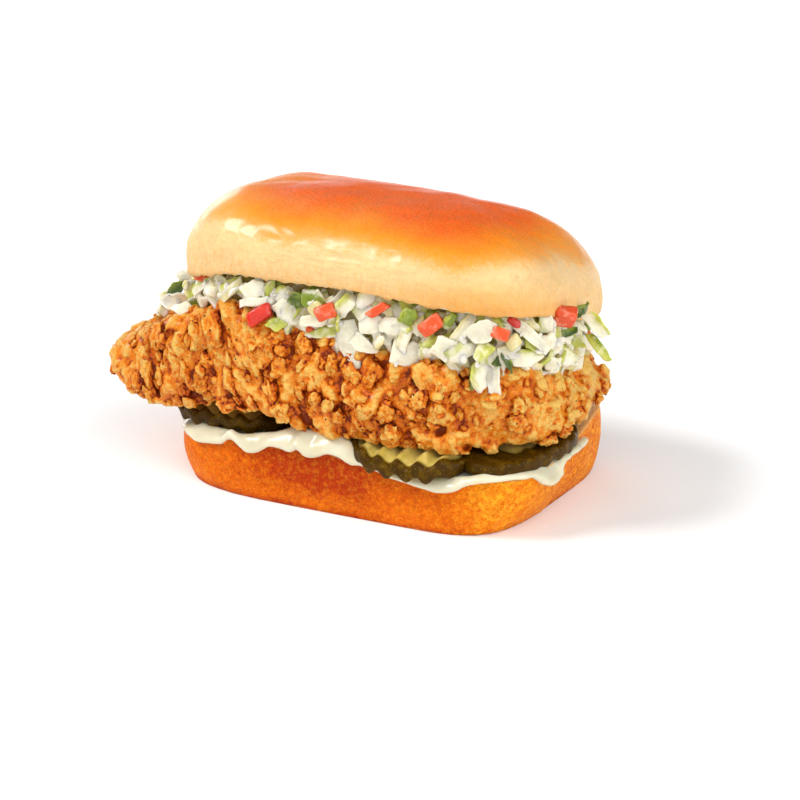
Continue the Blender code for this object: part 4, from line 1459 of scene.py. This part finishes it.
def makeSlawHeap(top, form):
    # the dressed heap under the loose pieces, between the fillet and the roll, darkened by painted shade where
    # it shows between them
    skinTop, skinForm = skinOf(top), skinOf(form)

    def meet(skin, x, y, way):
        middle = filletTop(x, y) + slaw["depth"] * 0.4
        hit = skin.ray_cast(Vector((x, y, middle)), Vector((0, 0, way)))[0]
        return hit.z if hit else middle + way * slaw["depth"]

    def point(u, v, rise):
        bulge = math.sin(math.pi * min(1, max(0, (rise + 1) / 2)))
        reach = 0.93 + 0.05 * bulge
        if abs(rise) > 1:
            reach = 0.93 * (2 - abs(rise))
        x, y = u * reach * slaw["halfLength"], v * reach * slaw["halfWidth"]
        beyond = smoothStep(36 * mm, 52 * mm, abs(x))
        x += math.copysign(3.5 * mm, x) * beyond * smoothStep(16 * mm, -4 * mm, y)
        low, high = meet(skinForm, x, y, -1) - 0.2 * mm, meet(skinTop, x, y, 1) + 0.2 * mm
        high -= 5.5 * mm * smoothStep(50 * mm, 58 * mm, abs(x))
        part = min(1.0, max(0.0, (rise + 1) / 2))
        return Vector((x, y, low + (high - low) * part))

    piece, heights = loafMesh("slawDressing", (70, 46, 12), slaw["squareness"], point)
    mesh = piece.data
    points, normals = pointsOf(mesh), normalsOf(mesh)
    lumps = noiseAt(points, 4 * mm, 1.1) * 1.6 * mm * (np.abs(heights) <= 1.05)
    movePoints(mesh, points + normals * lumps[:, None])
    patch = noiseAt(points, 5 * mm, 9.0)
    one, two = np.array(slawPieces["cream"]), np.array(slawPieces["pale"])
    share = np.clip(0.35 + patch, 0, 1)[:, None]
    colours = one * (1 - share) + two * share * 0.9
    colours = np.concatenate([colours, np.ones((len(points), 1))], axis=1)
    # painted shade: the heap's colours darkened, as it shows only in the gaps
    paintColours(mesh, colours * np.array(slawPieces["paintedHeapShade"]))
    mesh.materials.append(leafMaterial("dressing", 0.2, 0.2))
    return piece


def groupOf(kind, one):
    if kind == "herb":
        return "herb"
    return "dice" if kind == "dice" and one in ("carrot", "pepper") else "leaf"


def cutPiece(kind, length, width, one, two, rng):
    thickness = rng.uniform(*slawPieces["thickness"])
    if kind == "dice":
        return diceShape(length * mm, width * mm, width * 0.8 * mm, rng, slawPieces[one])
    if kind == "herb":
        kind, thickness = "chip", thickness * 0.6
    return sliver(kind, length * mm, width * mm, thickness, rng, slawPieces[one], slawPieces[two])


def looseChoice(rng):
    # kind, length and width in mm, and the colours of the two edges
    kind = rng.choice(slawPieces["kinds"])
    if kind == "dice":
        one = rng.choice(("carrot", "carrot", "pepper", "cream"))
        return kind, rng.uniform(3, 5), rng.uniform(2, 3.4), one, one
    if kind == "herb":
        one, two = rng.choice((("herb", "green"), ("green", "pale")))
        return kind, rng.uniform(4, 8), rng.uniform(2, 4.5), one, two
    one, two = rng.choice(slawPieces["edges"])
    length, width = rng.uniform(4.5, 11), rng.uniform(2.8, 6.2)
    if kind == "strip":
        length, width = rng.uniform(9, 15), rng.uniform(2.2, 3.6)
    return kind, length, width, one, two


def throughRoll(point, topSkin):
    # a point that has come up through the edge of the roll
    above = topSkin.ray_cast(point, Vector((0, 0, 1)), 3 * mm)[0]
    below = topSkin.ray_cast(point, Vector((0, 0, -1)), 30 * mm)[0]
    return above is None and below is not None and point.z > rimHeight(*point.xy) + 1.5 * mm


def scatterLoose(pile, heap, topSkin, rng):
    # loose pieces all round the open edge of the heap
    sides = [p for p in heap.data.polygons if abs(p.normal.z) < 0.75]
    edge = [(np.array(p.center), np.array(p.normal)) for p in sides]
    for spot, normal in evenSpots(edge, slawPieces["count"], rng, 12):
        kind, length, width, one, two = looseChoice(rng)
        shape = cutPiece(kind, length, width, one, two, rng)
        outward = (Vector(normal) + jitter(rng, 0.45)).normalized()
        down = Vector((rng.uniform(-1.5, 1.5), rng.uniform(-1.5, 1.5), -0.8))
        long = (down - outward * down.dot(outward)).normalized()
        middle = Vector(spot) + Vector(normal) * rng.uniform(-1.0, 0.9) * mm
        place = Matrix.Translation(middle) @ framed(long, outward).to_4x4()
        if any(throughRoll(place @ Vector(p), topSkin) for p in shape[0][::9]):
            continue
        turned = shape[0] @ np.array(place.to_3x3()).T
        if turned[:, 0].max() + place.translation.x <= slawPieces["rightEnd"]:
            pile.add(groupOf(kind, one), shape, place)


def shadedPieces(rng):
    # pale pieces right under the edge of the roll, behind the ones laid one by one
    rows = []
    for across in range(212, 560, 11):
        down = alongTable(slawPieces["underRoll"], across) + rng.uniform(3, 9)
        kind = rng.choice(("chip", "strip", "curl"))
        edges = rng.choice(slawPieces["shadedEdges"])
        size = rng.uniform(5, 9), rng.uniform(3, 5)
        rows.append((kind, across, down, *size, rng.uniform(-60, 60), 0.2, *edges))
    return tuple(rows)


def layPieces(pile, rows, skins, rng):
    for kind, across, down, length, width, lean, lift, one, two in rows:
        ray = throughPhoto(across, down)
        hits = [skin.ray_cast(cameraPlace, ray) for skin in skins]
        hits = [hit for hit in hits if hit[0]]
        if hits:
            spot, normal, _, _ = min(hits, key=lambda hit: hit[3])
        else:  # past the edge of the heap: at the depth of the nearer end of the roll
            end = Vector((-56, -12, 48) if across < 400 else (56, -6, 50)) * mm
            spot = cameraPlace + ray * ((cameraPlace - end).dot(towardCamera) / -ray.dot(towardCamera))
            normal = towardCamera
        outward = (normal * 0.7 + towardCamera * 0.8 + jitter(rng, 0.15)).normalized()
        angle = math.radians(lean)
        along = cameraRight * math.cos(angle) + cameraUp * math.sin(angle)
        along = (along - outward * along.dot(outward)).normalized()
        place = Matrix.Translation(spot + towardCamera * lift * mm) @ framed(along, outward).to_4x4()
        group = groupOf(kind, one)
        shape = cutPiece(kind, length, width, one, two, rng)
        pile.add("shred" if group == "leaf" else group, shape, place)


def dropShape(ball, size, wide, flat):
    points, faces = ball
    return points * np.array([1.0, wide, flat]) * size, faces, [slawPieces["sauce"]] * len(points)


def addDressing(pile, rng):
    # drops caught among the loose pieces, then smears over the laid ones and over earlier smears
    ball = ballShape(2)
    places = np.concatenate(pile.kinds["leaf"][0])
    for _ in range(slawPieces["drops"]):
        spot = Vector(places[rng.randrange(len(places))])
        shape = dropShape(ball, rng.uniform(0.45, 1.25) * mm, rng.uniform(0.8, 2.0), 0.7)
        turn = jitter(rng, 1).to_track_quat("Z", "Y").to_matrix().to_4x4()
        pile.add("leaf", shape, Matrix.Translation(spot) @ turn)
    sheets = pile.kinds["shred"][0]
    for _ in range(slawPieces["smears"]):
        sheet = sheets[rng.randrange(len(sheets))]
        number = rng.randrange(len(sheet))
        spot, other = Vector(sheet[number]), Vector(sheet[(number + 3) % len(sheet)])
        if spot.x > slawPieces["rightEnd"] - 3 * mm:
            continue
        outward = (towardCamera + jitter(rng, 0.5)).normalized()
        along = (other - spot) - outward * (other - spot).dot(outward)
        along = along.normalized() if along.length > 1e-6 else outward.orthogonal().normalized()
        shape = dropShape(ball, rng.uniform(0.7, 1.9) * mm, rng.uniform(0.4, 0.9), 0.32)
        pile.add("shred", shape, Matrix.Translation(spot) @ framed(along, outward).to_4x4())


def makeSlaw(top, heap, crusts):
    rng = random.Random(slawPieces["seed"])
    skins = [skinOf(piece) for piece in (top, heap, *crusts)]
    pile = Heap()
    scatterLoose(pile, heap, skins[0], rng)
    layPieces(pile, shadedPieces(rng) + laidPieces, skins, rng)
    addDressing(pile, rng)
    leaf = dressed(pile.build("leaf", "slawCabbage", leafMaterial("dressedCabbage")), slawPieces["voxel"], 2)
    shred = pile.build("shred", "slawShreds", leafMaterial("dressedShreds", 0.18, 0.30))
    movePoints(shred.data, blurAlong(shred.data, pointsOf(shred.data), 1))
    dice = pile.build("dice", "slawCarrot", leafMaterial("dressedCarrot", 0.2, 0.12))
    herb = pile.build("herb", "slawHerbs", leafMaterial("dressedHerbs", 0.22, 0.06))
    return leaf, shred, dice, herb


# floor, light and background

light = {
    "floorColour": (0.92, 0.92, 0.92),
    "world": 0.09,
    # strength, width of the source, and where it stands round from the front and up, in degrees
    "lamps": {
        "key": (2.30, 22, -60, 48),
        "front": (1.06, 80, 12, 30),
        "above": (0.60, 110, 0, 86),
        "sheen": (1.00, 34, -130, 9),
        "fill": (2.00, 60, 80, 34),
    },
}


def makeStage():
    floor = addMesh("floor", [(-6, -6, 0), (6, -6, 0), (6, 6, 0), (-6, 6, 0)], [(0, 1, 2, 3)])
    floor.location.z = -0.0002
    dull = {"Roughness": 0.9, "Specular IOR Level": 0.1}
    floor.data.materials.append(Paint("paleFloor").finish(light["floorColour"], (), dull))
    world = bpy.data.worlds.new("studio")
    world.use_nodes = True
    background = world.node_tree.nodes["Background"].inputs
    background["Color"].default_value = (1, 1, 1, 1)
    background["Strength"].default_value = light["world"]
    bpy.context.scene.world = world
    for name, (strength, width, azimuth, elevation) in light["lamps"].items():
        data = bpy.data.lights.new(name + "Light", "SUN")
        data.energy, data.angle = strength, math.radians(width)
        way = wayTo(azimuth, elevation)
        aimBack(addObject(name + "Light", data), way, way)
    bpy.context.scene.view_settings.view_transform = "Standard"


def settle(piece, nodes=()):
    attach(piece, "root")
    if nodes:
        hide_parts(*nodes)


makeCamera()
makeStage()
print("camera, floor and lights ready")

top = makeTopBun()
settle(top, ("roll_top",))
base = makeBaseBun()
settle(base, ("roll_base",))
print("roll ready")

form, _ = makeFilletCore()
heap = makeSlawHeap(top, form)
breaded, crustSpots = makeFillet()
flakes = makeFlakes(breaded)
crisps = makeCrisps(crustSpots, skinOf(breaded))
shadeCrust([breaded] + crisps)
for crisp in crisps:
    settle(crisp)
settle(breaded, ("fillet",))
settle(flakes)
print("fillet ready")

spread = makeMayo()
settle(spread, ("mayonnaise",))
brine = pickleMaterial()
for node in pickles["slices"]:
    settle(makePickle(node, brine), (node,))
print("mayonnaise and pickles ready")

settle(heap, ("coleslaw",))
for piece in makeSlaw(top, heap, [breaded] + crisps):
    settle(piece)
bpy.data.objects.remove(form)
print("coleslaw ready")

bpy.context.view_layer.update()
shown = [o for o in bpy.context.scene.objects if o.type == "MESH" and not o.hide_render]
print("faces in all:", sum(len(o.data.polygons) for o in shown))
